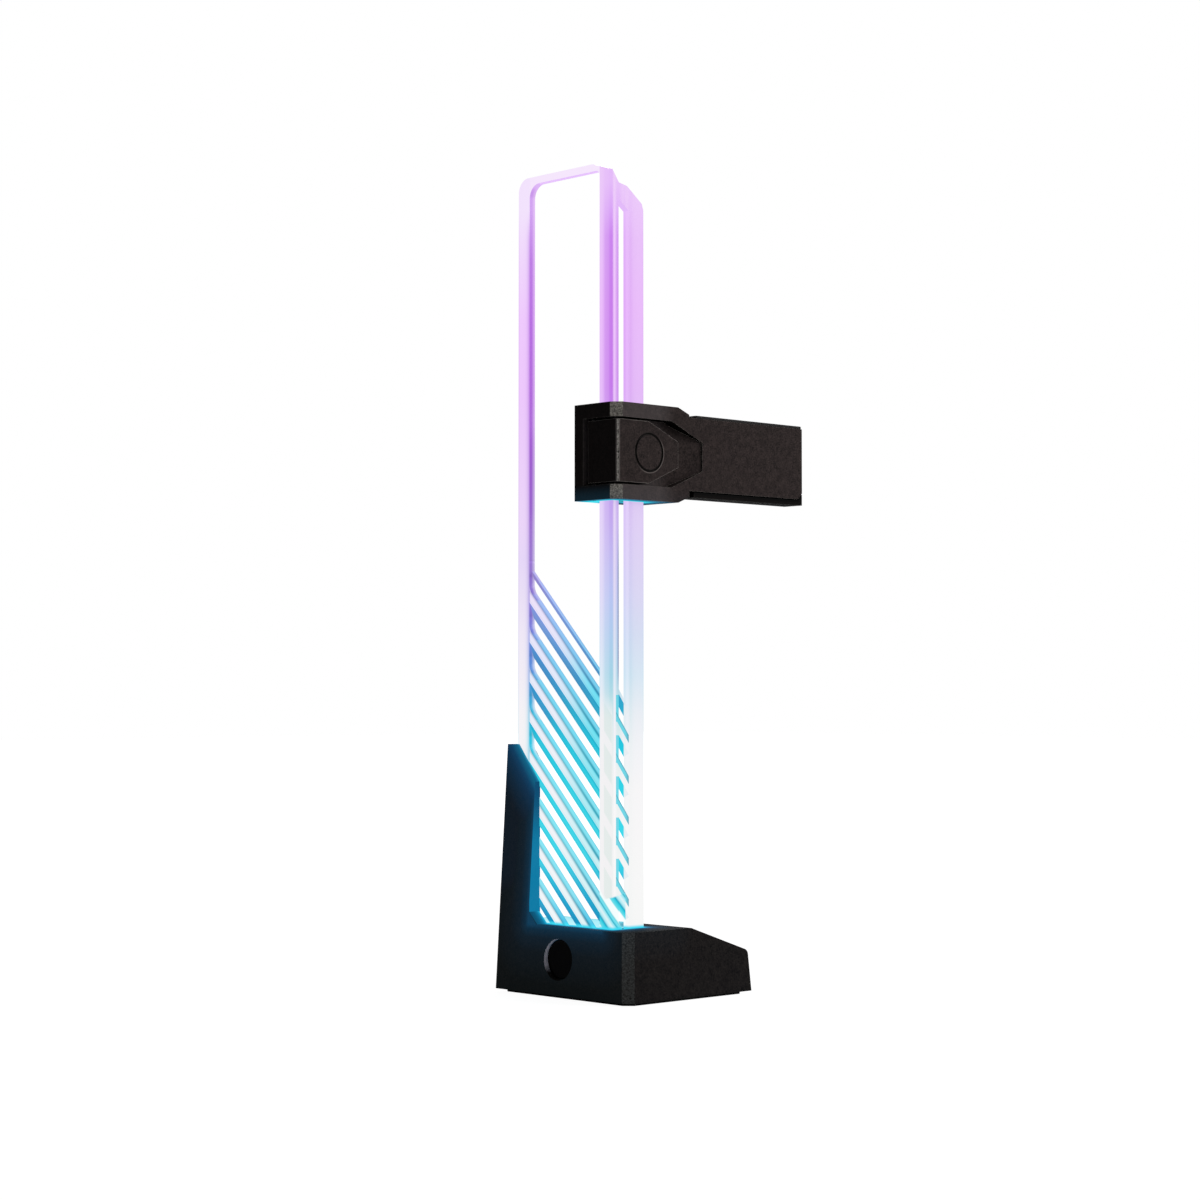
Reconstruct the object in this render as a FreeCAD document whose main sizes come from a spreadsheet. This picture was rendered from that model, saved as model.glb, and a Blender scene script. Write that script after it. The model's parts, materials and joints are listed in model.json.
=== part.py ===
"""Lit support bracket for a graphics card.

A clear L-section light guide stands in a low base. A carriage with a flat arm
slides up and down the guide's front corner, and a lever on the carriage's
corner presses a pad against the guide to hold the arm at the card's height.

Frame: millimetres, +Z up. The origin is the centre of the base on the ground,
+X is the way the arm points and +Y is the rear of the base.
"""
import FreeCAD, Part
import os
import re
import Sketcher

# Driving sizes: name, value in millimetres or degrees, what it is.
SIZES = [
    ("base_width", 41.7, "base along X at the bottom edge of its shell"),
    ("base_depth", 46.5, "base along Y at the bottom edge of its shell"),
    ("base_height", 17.1, "top of the low body above the ground"),
    ("base_lean", 3.7, "degrees that the left, front and right faces lean in"),
    ("base_corner", 2.1, "legs of the bevel on the front left corner"),
    ("base_wall", 2.2, "wall of the base shell at its bottom edge"),
    ("base_roof", 3.0, "thickness of the base shell's top"),
    ("slope_start", 22.0, "start of the sloped top, from the left bottom edge"),
    ("slope_low", 10.4, "height of the sloped top at its right end"),
    ("slope_round", 1.5, "radius where the sloped top meets the right face"),
    ("foot_thickness", 0.8, "soft foot under the shell"),
    ("foot_inset", 1.95, "foot edge inside the shell's bottom edge"),
    ("plate_thickness", 2.2, "bottom plate"),
    ("plate_gap", 0.15, "clearance round the bottom plate"),
    ("post_height", 60.4, "top of the rear post above the ground"),
    ("post_flat", 3.4, "level top of the rear post along Y"),
    ("post_slant", 9.0, "slanted edge of the rear post along Z"),
    ("post_depth", 10.7, "rear post along Y"),
    ("post_inside", 2.3, "post wall behind the light guide"),
    ("post_lip", 6.2, "that wall along Y"),
    ("post_toe", 2.9, "legs of the bevel at the foot of the post"),
    ("guide_left", 4.8, "light guide's left face from the left bottom edge"),
    ("guide_front", 10.15, "light guide's front face from the front bottom edge"),
    ("guide_wall", 1.8, "thickness of the light guide"),
    ("guide_back", 2.75, "side panel's rear edge from the base's rear face"),
    ("guide_width", 10.25, "front panel along X"),
    ("guide_top", 200.0, "top of the light guide above the ground"),
    ("guide_gap", 0.1, "clearance of the light guide in what holds or slides on it"),
    ("guide_foot", 5.4, "bottom of the light guide above the ground"),
    ("guide_root", 9.0, "solid strip at the foot of the light guide"),
    ("guide_round", 3.5, "radius of the light guide's rear top corner"),
    ("rail_rear", 4.05, "rear upright of the side panel along Y"),
    ("rail_corner", 4.5, "corner upright of the side panel along Y"),
    ("rail_top", 1.8, "top bar of the side panel along Z"),
    ("window_low", 102.8, "low edge of the big window at the rear upright"),
    ("window_round", 3.4, "radius of the big window's rear top corner"),
    ("window_bevel", 1.2, "radius of the big window's front top corner"),
    ("slot_rise", 45.8, "degrees that the slanted slots rise to the rear"),
    ("slot_pitch", 9.73, "spacing of the slanted slots up the guide"),
    ("slot_first", 105.0, "top of the first slot's mouth at the rear upright"),
    ("slot_mouth", 6.9, "height of a slot at the outer face"),
    ("slot_throat", 2.9, "height of a slot at the inner face"),
    ("slot_land", 0.25, "straight land at a slot's throat"),
    ("slot_round", 4.0, "radius of a slot's lower rear corner"),
    ("slot_count", 9, "slanted slots in the side panel"),
    ("slit_left", 2.0, "slit in the front panel from the guide's left face"),
    ("slit_width", 3.3, "slit in the front panel along X"),
    ("slit_top", 190.9, "top of the slit at its left edge"),
    ("slit_shoulder", 2.4, "fall of the slit's top to its right edge"),
    ("slit_low", 73.9, "low end of the open slit at its left edge"),
    ("slit_fall", 53.0, "degrees that the louvres fall to the right"),
    ("slit_first", 72.7, "top of the first louvre gap at its left edge"),
    ("slit_mouth", 5.35, "height of a louvre gap at the outer face"),
    ("slit_throat", 4.55, "height of a louvre gap at the inner face"),
    ("slit_count", 6, "louvre gaps in the front panel"),
    ("brow_depth", 6.9, "falling stretch of the side panel's top along Y"),
    ("brow_corner", 197.8, "top of the guide at its front left corner"),
    ("brow_step", 2.1, "steep fall of the front panel's top along X"),
    ("brow_shelf", 194.9, "top of the front panel below that fall"),
    ("brow_ledge", 4.8, "end of the shelf from the guide's left face"),
    ("brow_sag", 0.5, "fall of the shelf along its length"),
    ("brow_right", 190.7, "top of the front panel near its right end"),
    ("brow_bevel", 0.5, "bevel at the right end of the front panel's top, along X"),
    ("brow_nick", 1.5, "that bevel along Z"),
    ("board_thickness", 1.0, "light board"),
    ("board_width", 4.0, "light board across the guide"),
    ("board_front", 8.6, "light board's front end from the front bottom edge"),
    ("board_back", 7.5, "rear edge of the light board's strip from the base's rear face"),
    ("board_tail_width", 6.0, "tail of the light board along Y"),
    ("light_length", 3.2, "light chip along the board"),
    ("light_width", 2.6, "light chip across the board"),
    ("light_height", 1.2, "light chip above its board"),
    ("light_first", 14.0, "first light chip from the front bottom edge"),
    ("light_pitch", 5.6, "spacing of the light chips"),
    ("light_count", 5, "light chips on the board"),
    ("socket_left", 13.0, "cable socket's left side from the left bottom edge"),
    ("socket_width", 8.0, "cable socket along X"),
    ("socket_height", 4.6, "cable socket along Z"),
    ("socket_depth", 6.4, "cable socket along Y"),
    ("socket_wall", 0.8, "wall of the cable socket"),
    ("socket_back", 1.6, "back wall of the cable socket"),
    ("contact_side", 0.64, "side of a socket contact"),
    ("contact_pitch", 2.0, "spacing of the socket contacts"),
    ("contact_length", 3.6, "socket contact in front of the back wall"),
    ("magnet_radius", 5.0, "base magnet"),
    ("magnet_height", 1.8, "base magnet"),
    ("magnet_left", 27.5, "magnets' centres from the left bottom edge"),
    ("magnet_end", 9.65, "outer magnets' centres from the base's front and rear edges"),
    ("magnet_fit", 0.1, "clearance round a magnet"),
    ("disc_rim", 0.2, "bevel on the rims of the magnets and the round cap"),
    ("screw_radius", 1.0, "shank of the base screws"),
    ("screw_head", 1.8, "head radius of the base screws"),
    ("screw_head_height", 1.0, "head height of the base screws"),
    ("screw_length", 5.5, "base screw above its head"),
    ("screw_fit", 0.05, "clearance round a screw"),
    ("screw_left", 7.6, "front left base screw from the left bottom edge"),
    ("screw_inner", 10.6, "rear left base screw from the left bottom edge"),
    ("screw_right", 36.4, "right base screws from the left bottom edge"),
    ("screw_front", 5.8, "front base screws from the front bottom edge"),
    ("screw_back", 4.6, "rear base screws from the base's rear face"),
    ("boss_wall", 1.1, "wall of a screw boss"),
    ("cap_radius", 4.7, "round cap on the base's left face"),
    ("cap_thickness", 0.7, "round cap"),
    ("cap_recess", 0.8, "depth of the cap below the base's left face"),
    ("cap_seat", 1.0, "wall behind the cap"),
    ("cap_gap", 0.25, "clearance round the cap"),
    ("cap_rear", 24.6, "centre of the cap from the front bottom edge"),
    ("cap_up", 9.3, "centre of the cap above the ground"),
    ("keeper_height", 2.0, "bar that keeps the light guide's foot in the base"),
    ("keeper_width", 3.6, "keeper bar along X"),
    ("keeper_front", 5.05, "keeper bar's front end from the guide's front panel"),
    ("keeper_back", 9.5, "keeper bar's rear end from the base's rear face"),
    ("keeper_tab", 3.0, "keeper tab along Y"),
    ("keeper_tab_place", 4.0, "keeper tabs from the middle of the bar"),
    ("keeper_tab_gap", 0.15, "clearance round a keeper tab"),
    ("keeper_screw", 2.2, "keeper screws from the ends of the bar"),
    ("small_screw", 0.8, "shank radius of the small screws"),
    ("small_head", 1.45, "head radius of the small screws"),
    ("small_head_height", 0.8, "head height of the small screws"),
    ("keeper_screw_length", 3.6, "keeper screw above its head"),
    ("carriage_middle", 130.2, "middle of the carriage above the ground"),
    ("collar_height", 23.0, "collar along Z"),
    ("collar_left", 1.2, "collar's left face from the base's left bottom edge"),
    ("collar_front", 5.15, "collar's front face from the base's front bottom edge"),
    ("collar_bevel", 2.15, "legs of the bevel on the collar's front left corner"),
    ("collar_depth", 14.4, "collar's left face along Y"),
    ("collar_width", 20.7, "collar's front face along X, to its shoulder"),
    ("collar_shoulder", 3.8, "slope from the collar to the arm, along X"),
    ("arm_step", 1.5, "arm's top and bottom inside the collar's ends"),
    ("arm_reach", 65.0, "arm's end from the collar's left face"),
    ("arm_depth", 6.0, "arm along Y"),
    ("arm_skin", 1.6, "front, top and end walls of the arm"),
    ("arm_hollow", 32.0, "start of the arm's hollow from the collar's left face"),
    ("arm_rib", 1.2, "a rib inside the arm"),
    ("arm_rib_first", 39.5, "first rib from the collar's left face"),
    ("arm_rib_pitch", 8.0, "spacing of the ribs inside the arm"),
    ("arm_rib_count", 3, "ribs inside the arm"),
    ("cover_start", 26.0, "rear cover's left end from the collar's left face"),
    ("cover_lip", 1.3, "lip of the rear cover below the arm's front"),
    ("cover_corner", 1.5, "legs of the bevel where the lip turns up at the arm's end"),
    ("cover_thickness", 1.5, "rear cover of the arm"),
    ("cover_screw_low", 5.0, "cover screws from the arm's bottom"),
    ("cover_screw_first", 36.0, "first cover screw from the collar's left face"),
    ("cover_screw_end", 4.6, "second cover screw from the arm's end"),
    ("cover_screw_length", 3.0, "cover screw beyond its head"),
    ("seam", 0.25, "gap between neighbouring mouldings"),
    ("rest_thickness", 0.7, "soft strip on top of the arm"),
    ("rest_start", 27.0, "soft strip's left end from the collar's left face"),
    ("rest_inset", 0.15, "edge of the soft strip inside the arm's edges"),
    ("carriage_screw_length", 7.0, "carriage screw beyond its head"),
    ("carriage_screw_reach", 17.4, "carriage screws from the collar's left face"),
    ("carriage_screw_spread", 6.6, "carriage screws above and below the middle"),
    ("glide_thickness", 0.6, "glide strips between the carriage and the guide"),
    ("glide_height", 16.0, "glide strips along Z"),
    ("glide_width", 1.9, "side glide strip along Y"),
    ("glide_length", 4.0, "front glide strip along X"),
    ("glide_bed", 0.5, "depth that a glide strip is let into the clamp block"),
    ("lever_step", 4.1, "lever's top and bottom inside the collar's ends"),
    ("lever_wall", 2.6, "lever's front plate"),
    ("lever_recess", 0.5, "lever's side plate behind the collar's left face"),
    ("lever_side", 1.9, "inner side of that plate from the collar's left face"),
    ("lever_reach", 20.7, "lever's tip from the collar's left face"),
    ("lever_nose", 9.9, "slanted end of the lever along X"),
    ("lever_tip", 6.2, "height of the lever's tip"),
    ("lever_gap", 0.6, "gap above and below the lever"),
    ("lever_lift", 0.3, "gap behind the lever's side plate"),
    ("lever_bevel", 0.6, "legs of the bevel on the lever's corner"),
    ("lever_rear", 10.2, "lever's rear edge from the collar's front face"),
    ("lever_room", 1.2, "gap behind the lever's rear edge"),
    ("finger_reach", 29.0, "end of the finger recess from the collar's left face"),
    ("finger_nose", 10.5, "slanted end of the finger recess along X"),
    ("finger_tip", 7.0, "height of the finger recess at its end"),
    ("finger_depth", 3.0, "finger recess below the collar's front face"),
    ("finger_step", 0.4, "depth of the finger recess at its end"),
    ("ring_radius", 4.7, "ring groove on the lever, outer edge"),
    ("ring_width", 0.5, "ring groove on the lever"),
    ("ring_depth", 0.35, "ring groove on the lever"),
    ("ring_reach", 10.9, "centre of the ring from the collar's left face"),
    ("hinge_left", 1.55, "lever's hinge from the collar's left face"),
    ("hinge_rear", 9.15, "lever's hinge from the collar's front face"),
    ("hinge_pin", 0.5, "radius of the hinge pin"),
    ("hinge_eye", 1.0, "radius of the lever round its hinge"),
    ("hinge_fit", 0.05, "clearance of the hinge pin in the lever"),
    ("hinge_swing", 0.35, "room round the lever's hinge"),
    ("hinge_grip", 2.6, "hinge pin in the collar above the lever"),
    ("hinge_sink", 0.4, "hinge pin's low end above the collar's bottom"),
    ("brake_reach", 11.6, "centre of the brake pad from the collar's left face"),
    ("brake_width", 4.4, "brake pad along X"),
    ("brake_height", 8.0, "brake pad along Z"),
    ("brake_rim", 0.8, "rim round the brake pad"),
    ("brake_rim_depth", 0.6, "rim of the brake pad along Y"),
    ("brake_gap", 0.1, "clearance round the brake pad"),
    ("brake_stand", 0.15, "brake pad in front of the recess floor"),
    ("cam_height", 0.2, "pad on the lever's back that pushes the brake"),
    ("cam_width", 2.6, "that pad along X"),
    ("cam_length", 6.0, "that pad along Z"),
]

# Places worked out from the sizes above, as expressions.
PLACES = {
    "left": "-base_width / 2",
    "front": "-base_depth / 2",
    "rear": "base_depth / 2",
    "right": "base_width / 2",
    "lean": "tan(base_lean * 1deg)",
    "guide_x": "left + guide_left",
    "guide_y": "front + guide_front",
    "guide_inner_x": "guide_x + guide_wall",
    "guide_inner_y": "guide_y + guide_wall",
    "guide_rear": "rear - guide_back",
    "guide_right": "guide_x + guide_width",
    "rail_rear_y": "guide_rear - rail_rear",
    "rail_corner_y": "guide_y + rail_corner",
    "window_top": "guide_top - rail_top",
    "slot_slope": "tan(slot_rise * 1deg)",
    "slot_run": "slot_slope * (rail_rear_y - rail_corner_y)",
    "blank_foot": "guide_foot - slot_run",
    "slit_slope": "tan(slit_fall * 1deg)",
    "slit_x": "guide_x + slit_left",
    "slit_end": "slit_x + slit_width",
    "post_front": "rear - post_depth",
    "post_right": "guide_inner_x + guide_gap + post_inside",
    "collar_x": "left + collar_left",
    "collar_y": "front + collar_front",
    "collar_low": "carriage_middle - collar_height / 2",
    "collar_top": "carriage_middle + collar_height / 2",
    "collar_rear": "collar_y + collar_depth",
    "shoulder_x": "collar_x + collar_width",
    "arm_low": "collar_low + arm_step",
    "arm_top": "collar_top - arm_step",
    "arm_end": "collar_x + arm_reach",
    "arm_rear": "collar_y + arm_depth",
    "block_x": "guide_inner_x + guide_gap",
    "block_y": "guide_inner_y + guide_gap",
    "tongue_y": "rail_corner_y + guide_gap",
    "plate_top": "foot_thickness + plate_thickness",
    "board_top": "plate_top + board_thickness",
    "board_x": "(guide_x + guide_inner_x) / 2",
    "roof_low": "base_height - base_roof",
    "cap_floor": "left + lean * (cap_up - foot_thickness) + cap_recess + cap_thickness",
    "lever_height": "collar_height - 2 * lever_step",
    "lever_low": "collar_low + lever_step",
    "lever_top": "collar_top - lever_step",
    "recess_floor": "collar_y + finger_depth",
    "lip_top": "arm_low + cover_lip",
    "arm_inside": "arm_rear - cover_thickness",
    "keeper_x": "block_x + keeper_width / 2",
    "keeper_start": "guide_inner_y + keeper_front",
    "keeper_end": "rear - keeper_back",
    "keeper_middle": "(keeper_start + keeper_end) / 2",
    "screw_reach": "carriage_screw_length - (screw_seat - block_y) + screw_fit",
    "screw_seat": "block_y + (collar_rear - block_y) / 2",
    "glide_low": "carriage_middle - glide_height / 2",
    "glide_high": "carriage_middle + glide_height / 2",
    "glide_front_x": "slit_end + guide_gap",
    "glide_side_y": "block_y + guide_gap",
    "hinge_x": "collar_x + hinge_left",
    "hinge_y": "collar_y + hinge_rear",
    "brake_x": "collar_x + brake_reach",
}

document = FreeCAD.newDocument("support_bracket")
sheet = document.addObject("Spreadsheet::Sheet", "Sizes")
bodies = []


def fill_sheet():
    """Writes each driving size into the sheet, under its own name."""
    for row, (name, value, meaning) in enumerate(SIZES, start=1):
        sheet.set(f"A{row}", meaning)
        sheet.set(f"B{row}", str(value))
        sheet.setAlias(f"B{row}", name)
    document.recompute()


SIZE_NAMES = {name for name, _, _ in SIZES}


def linked(text):
    """Turns size and place names into references to the sheet."""
    def swap(match):
        word = match.group(0)
        if word in PLACES:
            return "(" + linked(PLACES[word]) + ")"
        return "Sizes." + word if word in SIZE_NAMES else word
    return re.sub(r"(?<![\w.])[a-z_]+(?![\w(])", swap, str(text))


def size(text):
    """The value of an expression of sizes, as a plain number."""
    value = sheet.evalExpression(linked(text))
    return float(getattr(value, "Value", value))


def tie(thing, field, text):
    """Sets a field of an object and binds it to the sheet."""
    thing.setExpression(field, linked(text))


def new_body(label):
    body = document.addObject("PartDesign::Body", label)
    body.Label = label
    bodies.append(body)
    return body


def new_sketch(body, plane, offset="0"):
    """A sketch on one of the body's origin planes, moved along its normal."""
    sketch = body.newObject("Sketcher::SketchObject", "Sketch")
    role = {"top": "XY_Plane", "front": "XZ_Plane", "side": "YZ_Plane"}[plane]
    support = [item for item in body.Origin.OriginFeatures if item.Role == role][0]
    sketch.AttachmentSupport = [(support, "")]
    sketch.MapMode = "FlatFace"
    tie(sketch, ".AttachmentOffset.Base.z", offset)
    return sketch


def pin_point(sketch, index, end, across, up):
    """Holds a point of the sketch at two distances from its origin."""
    for kind, text in (("DistanceX", across), ("DistanceY", up)):
        rule = Sketcher.Constraint(kind, -1, 1, index, end, size(text))
        tie(sketch, f"Constraints[{sketch.addConstraint(rule)}]", text)


def draw_outline(sketch, corners):
    """A closed outline through corners, each given as two expressions."""
    points = [FreeCAD.Vector(size(across), size(up), 0) for across, up in corners]
    start = sketch.GeometryCount
    count = len(points)
    for number, point in enumerate(points):
        sketch.addGeometry(Part.LineSegment(point, points[(number + 1) % count]), False)
    for number in range(count):
        following = start + (number + 1) % count
        sketch.addConstraint(Sketcher.Constraint("Coincident", start + number, 2, following, 1))
    for number, (across, up) in enumerate(corners):
        pin_point(sketch, start + number, 1, across, up)


def draw_box(sketch, low_across, low_up, high_across, high_up):
    draw_outline(sketch, [(low_across, low_up), (high_across, low_up),
                          (high_across, high_up), (low_across, high_up)])


def draw_circle(sketch, across, up, radius):
    centre = FreeCAD.Vector(size(across), size(up), 0)
    circle = Part.Circle(centre, FreeCAD.Vector(0, 0, 1), size(radius))
    index = sketch.addGeometry(circle, False)
    pin_point(sketch, index, 3, across, up)
    rule = Sketcher.Constraint("Radius", index, size(radius))
    tie(sketch, f"Constraints[{sketch.addConstraint(rule)}]", radius)


def extrude(body, kind, sketch, length, reverse=False):
    """A Pad or Pocket of the sketch, with its length bound to the sheet."""
    feature = body.newObject("PartDesign::" + kind, kind)
    feature.Profile = sketch
    tie(feature, "Length", length)
    feature.Reversed = reverse
    sketch.Visibility = False
    document.recompute()
    return feature


def pad(body, plane, low, high, draw):
    """Adds material between two offsets along a plane's normal."""
    sketch = new_sketch(body, plane, *away(plane, low, high))
    draw(sketch)
    return extrude(body, "Pad", sketch, f"({high}) - ({low})", plane == "front")


def pocket(body, plane, low, high, draw):
    """Removes material between two offsets along a plane's normal."""
    sketch = new_sketch(body, plane, *away(plane, low, high))
    draw(sketch)
    before = body.Shape.Volume
    feature = extrude(body, "Pocket", sketch, f"({high}) - ({low})", plane != "front")
    if not body.Shape.Volume < before:
        raise ValueError(body.Label + ": a pocket cuts nothing")
    return feature


def away(plane, low, high):
    """The sketch offset; a front plane's normal points along -Y."""
    return (f"-({low})",) if plane == "front" else (low,)


def edges_where(body, test):
    """Names of the body's edges that pass a test of their two end points."""
    names = []
    for number, edge in enumerate(body.Shape.Edges, start=1):
        ends = [vertex.Point for vertex in edge.Vertexes]
        if len(ends) == 2 and test(*ends):
            names.append(f"Edge{number}")
    return names


def dress(body, kind, amount, test):
    """A Fillet or Chamfer of the edges that pass the test."""
    names = edges_where(body, test)
    if not names:
        raise ValueError(f"{body.Label}: no edge for a {kind}")
    before = body.Tip
    feature = body.newObject("PartDesign::" + kind, kind)
    feature.Base = (before, names)
    tie(feature, "Radius" if kind == "Fillet" else "Size", amount)
    body.Tip = feature
    document.recompute()
    return feature


def upright(one, other):
    """True for an edge that runs along Z."""
    return abs(one.x - other.x) < 1e-4 and abs(one.y - other.y) < 1e-4


def repeat_down(body, feature, pitch, count):
    """Copies a feature down the body, a number of times."""
    pattern = body.newObject("PartDesign::LinearPattern", "Pattern")
    pattern.Originals = [feature]
    axis = [item for item in body.Origin.OriginFeatures if item.Role == "Z_Axis"][0]
    pattern.Direction = (axis, [""])
    pattern.Reversed = True
    tie(pattern, "Length", f"({pitch}) * (({count}) - 1)")
    tie(pattern, "Occurrences", count)
    body.Tip = pattern
    document.recompute()
    return pattern


def slope_edges(body, amount, depth, test):
    """Slopes edges off by one amount along the first face and another in depth."""
    feature = dress(body, "Chamfer", amount, test)
    feature.ChamferType = "Two distances"
    tie(feature, "Size2", depth)
    document.recompute()
    return feature


def near_line(across, up):
    """A test for edges along X at a place in the side view."""
    place = (size(across), size(up))

    def test(one, other):
        level = abs(one.y - other.y) < 1e-4 and abs(one.z - other.z) < 1e-4
        return level and abs(one.y - place[0]) + abs(one.z - place[1]) < 0.02
    return test


def bevelled_plan(inset):
    """The base's plan outline, moved in by an amount."""
    def draw(sketch):
        left = f"left + ({inset})"
        front = f"front + ({inset})"
        right = f"right - ({inset})"
        rear = f"rear - ({inset})"
        draw_outline(sketch, [(f"{left} + base_corner", front), (right, front), (right, rear),
                              (left, rear), (left, f"{front} + base_corner")])
    return draw


def guide_plan(gap):
    """The light guide's L-section with a gap all round."""
    def draw(sketch):
        draw_outline(sketch, [(f"guide_x - ({gap})", f"guide_y - ({gap})"),
                              (f"guide_right + ({gap})", f"guide_y - ({gap})"),
                              (f"guide_right + ({gap})", f"guide_inner_y + ({gap})"),
                              (f"guide_inner_x + ({gap})", f"guide_inner_y + ({gap})"),
                              (f"guide_inner_x + ({gap})", f"guide_rear + ({gap})"),
                              (f"guide_x - ({gap})", f"guide_rear + ({gap})")])
    return draw


BASE_SCREWS = [("left + screw_left", "front + screw_front"),
               ("left + screw_right", "front + screw_front"),
               ("left + screw_right", "rear - screw_back"),
               ("left + screw_inner", "rear - screw_back")]

MAGNETS = ["front + magnet_end", "0", "rear - magnet_end"]

KEEPER_SCREWS = [("keeper_x", "keeper_start + keeper_screw"),
                 ("keeper_x", "keeper_end - keeper_screw")]


def draw_lean(sketch, edge, sign):
    """What is cut off where a side of the base leans in from its bottom edge."""
    away_sign = "-" if sign == "+" else "+"
    draw_outline(sketch, [(edge, "foot_thickness"),
                          (f"{edge} {sign} lean * (post_height + 1 - foot_thickness)",
                           "post_height + 1"),
                          (f"{edge} {away_sign} 1", "post_height + 1"),
                          (f"{edge} {away_sign} 1", "foot_thickness")])


def make_base_shell():
    """The moulded base: a low wedge with a tall post behind the light guide."""
    body = new_body("base_shell")
    pad(body, "top", "foot_thickness", "post_height", lambda sketch: draw_box(
        sketch, "left", "front", "right", "rear"))
    pocket(body, "front", "front - 1", "rear + 1", lambda sketch: (
        draw_lean(sketch, "left", "+"), draw_lean(sketch, "right", "-")))
    pocket(body, "side", "left - 1", "right + 1", lambda sketch: draw_lean(sketch, "front", "+"))
    dress(body, "Chamfer", "base_corner", lambda one, other: abs(one.z - other.z) > 9
          and max(one.x, other.x) < 0 and max(one.y, other.y) < 0)
    pocket(body, "side", "left - 1", "right + 1", lambda sketch: draw_outline(sketch, [
        ("front - 1", "base_height"), ("post_front - post_toe", "base_height"),
        ("post_front", "base_height + post_toe"),
        ("post_front", "post_height - post_slant"),
        ("rear - post_flat", "post_height"), ("rear - post_flat", "post_height + 1"),
        ("front - 1", "post_height + 1")]))
    pocket(body, "front", "front - 1", "rear + 1", lambda sketch: draw_outline(sketch, [
        ("post_right", "base_height"), ("left + slope_start", "base_height"),
        ("right", "slope_low"), ("right + 1", "slope_low"),
        ("right + 1", "post_height + 1"), ("post_right", "post_height + 1")]))
    pocket(body, "top", "base_height", "post_height + 1", lambda sketch: draw_box(
        sketch, "guide_x - guide_gap", "front - 1", "right + 1", "rear - post_lip"))
    end_face = size("right - lean * (slope_low - foot_thickness)")
    dress(body, "Fillet", "slope_round", lambda one, other: abs(one.x - other.x) < 1e-4
          and abs(one.x - end_face) < 0.1 and abs(one.z - other.z) < 1e-4
          and one.z > size("slope_low / 2"))
    hollow_base(body)
    return body


def hollow_base(body):
    """The inside of the base shell, its bosses and its openings."""
    pocket(body, "top", "0", "slope_low - base_roof", bevelled_plan("base_wall"))
    pocket(body, "top", "0", "roof_low", lambda sketch: draw_box(
        sketch, "left + base_wall + base_roof / 2", "front + base_wall + base_roof / 2",
        "left + slope_start", "rear - base_wall"))
    pad(body, "side", "left + base_wall / 2", "cap_floor + cap_seat",
        lambda sketch: draw_circle(sketch, "front + cap_rear", "cap_up",
                                   "cap_radius + cap_gap + boss_wall / 2"))
    pocket(body, "side", "left - 1", "cap_floor",
           lambda sketch: draw_circle(sketch, "front + cap_rear", "cap_up",
                                      "cap_radius + cap_gap"))
    for across, along in BASE_SCREWS:
        right = "screw_right" in across
        top = "slope_low - base_roof / 2" if right else "roof_low + base_roof / 2"
        pad(body, "top", "plate_top", top, lambda sketch: draw_circle(
            sketch, across, along, "screw_radius + boss_wall"))
    for across, along in BASE_SCREWS:
        pocket(body, "top", "plate_top - 1",
               "foot_thickness + screw_head_height + screw_length + screw_fit",
               lambda sketch: draw_circle(sketch, across, along, "screw_radius + screw_fit"))
    pocket(body, "top", "roof_low - 1", "post_height + 1", guide_plan("guide_gap"))
    for across, along in KEEPER_SCREWS:
        pocket(body, "top", "roof_low - 1",
               "roof_low - keeper_height + keeper_screw_length + screw_fit",
               lambda sketch: draw_circle(sketch, across, along, "small_screw + screw_fit"))
    pocket(body, "front", "rear - base_wall - 1", "rear + 1", lambda sketch: draw_box(
        sketch, "left + socket_left - plate_gap", "board_top - plate_gap",
        "left + socket_left + socket_width + plate_gap",
        "board_top + socket_height + plate_gap"))


def make_base_plate():
    """The plate that closes the base, with cups for the magnets."""
    body = new_body("base_plate")
    pad(body, "top", "foot_thickness", "plate_top",
        bevelled_plan("base_wall + plate_gap"))
    for across, along in BASE_SCREWS:
        pocket(body, "top", "0", "plate_top + 1", lambda sketch: draw_circle(
            sketch, across, along, "screw_radius + screw_fit"))
        pocket(body, "top", "0", "foot_thickness + screw_head_height",
               lambda sketch: draw_circle(sketch, across, along, "screw_head + screw_fit"))
    for along in MAGNETS:
        pocket(body, "top", "plate_top - magnet_height", "plate_top + 1",
               lambda sketch: draw_circle(sketch, "left + magnet_left", along,
                                          "magnet_radius + magnet_fit"))
    return body


def make_foot_pad():
    """The soft foot that the base stands on."""
    body = new_body("foot_pad")
    pad(body, "top", "0", "foot_thickness", bevelled_plan("foot_inset"))
    return body


def make_round_cap():
    """The plain cap let into the base's left face."""
    return disc("round_cap", "cap_radius", "cap_thickness", "cap_floor - cap_thickness",
                "front + cap_rear", "cap_up", "x")


def cylinder(radius, length, across, along, up, axis):
    """A cylinder that starts at a place and runs along an axis."""
    turns = {"x": (0, 1, 0), "y": (-1, 0, 0), "z": (0, 0, 1)}
    angle = 0 if axis == "z" else 90
    solid = document.addObject("Part::Cylinder", "Cylinder")
    tie(solid, "Radius", radius)
    tie(solid, "Height", length)
    spin = FreeCAD.Rotation(FreeCAD.Vector(*turns[axis]), angle)
    solid.Placement = FreeCAD.Placement(FreeCAD.Vector(0, 0, 0), spin)
    for letter, text in (("x", across), ("y", along), ("z", up)):
        tie(solid, ".Placement.Base." + letter, text)
    return solid


def disc(label, radius, thickness, across, along, up, axis):
    """A disc with bevelled rims."""
    blank = cylinder(radius, thickness, across, along, up, axis)
    document.recompute()
    bevelled = document.addObject("Part::Chamfer", label)
    bevelled.Base = blank
    rim = size("disc_rim")
    bevelled.Edges = [(number, rim, rim) for number, edge in enumerate(blank.Shape.Edges, start=1)
                      if isinstance(edge.Curve, Part.Circle)]
    bevelled.Label = label
    bodies.append(bevelled)
    return bevelled


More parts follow.
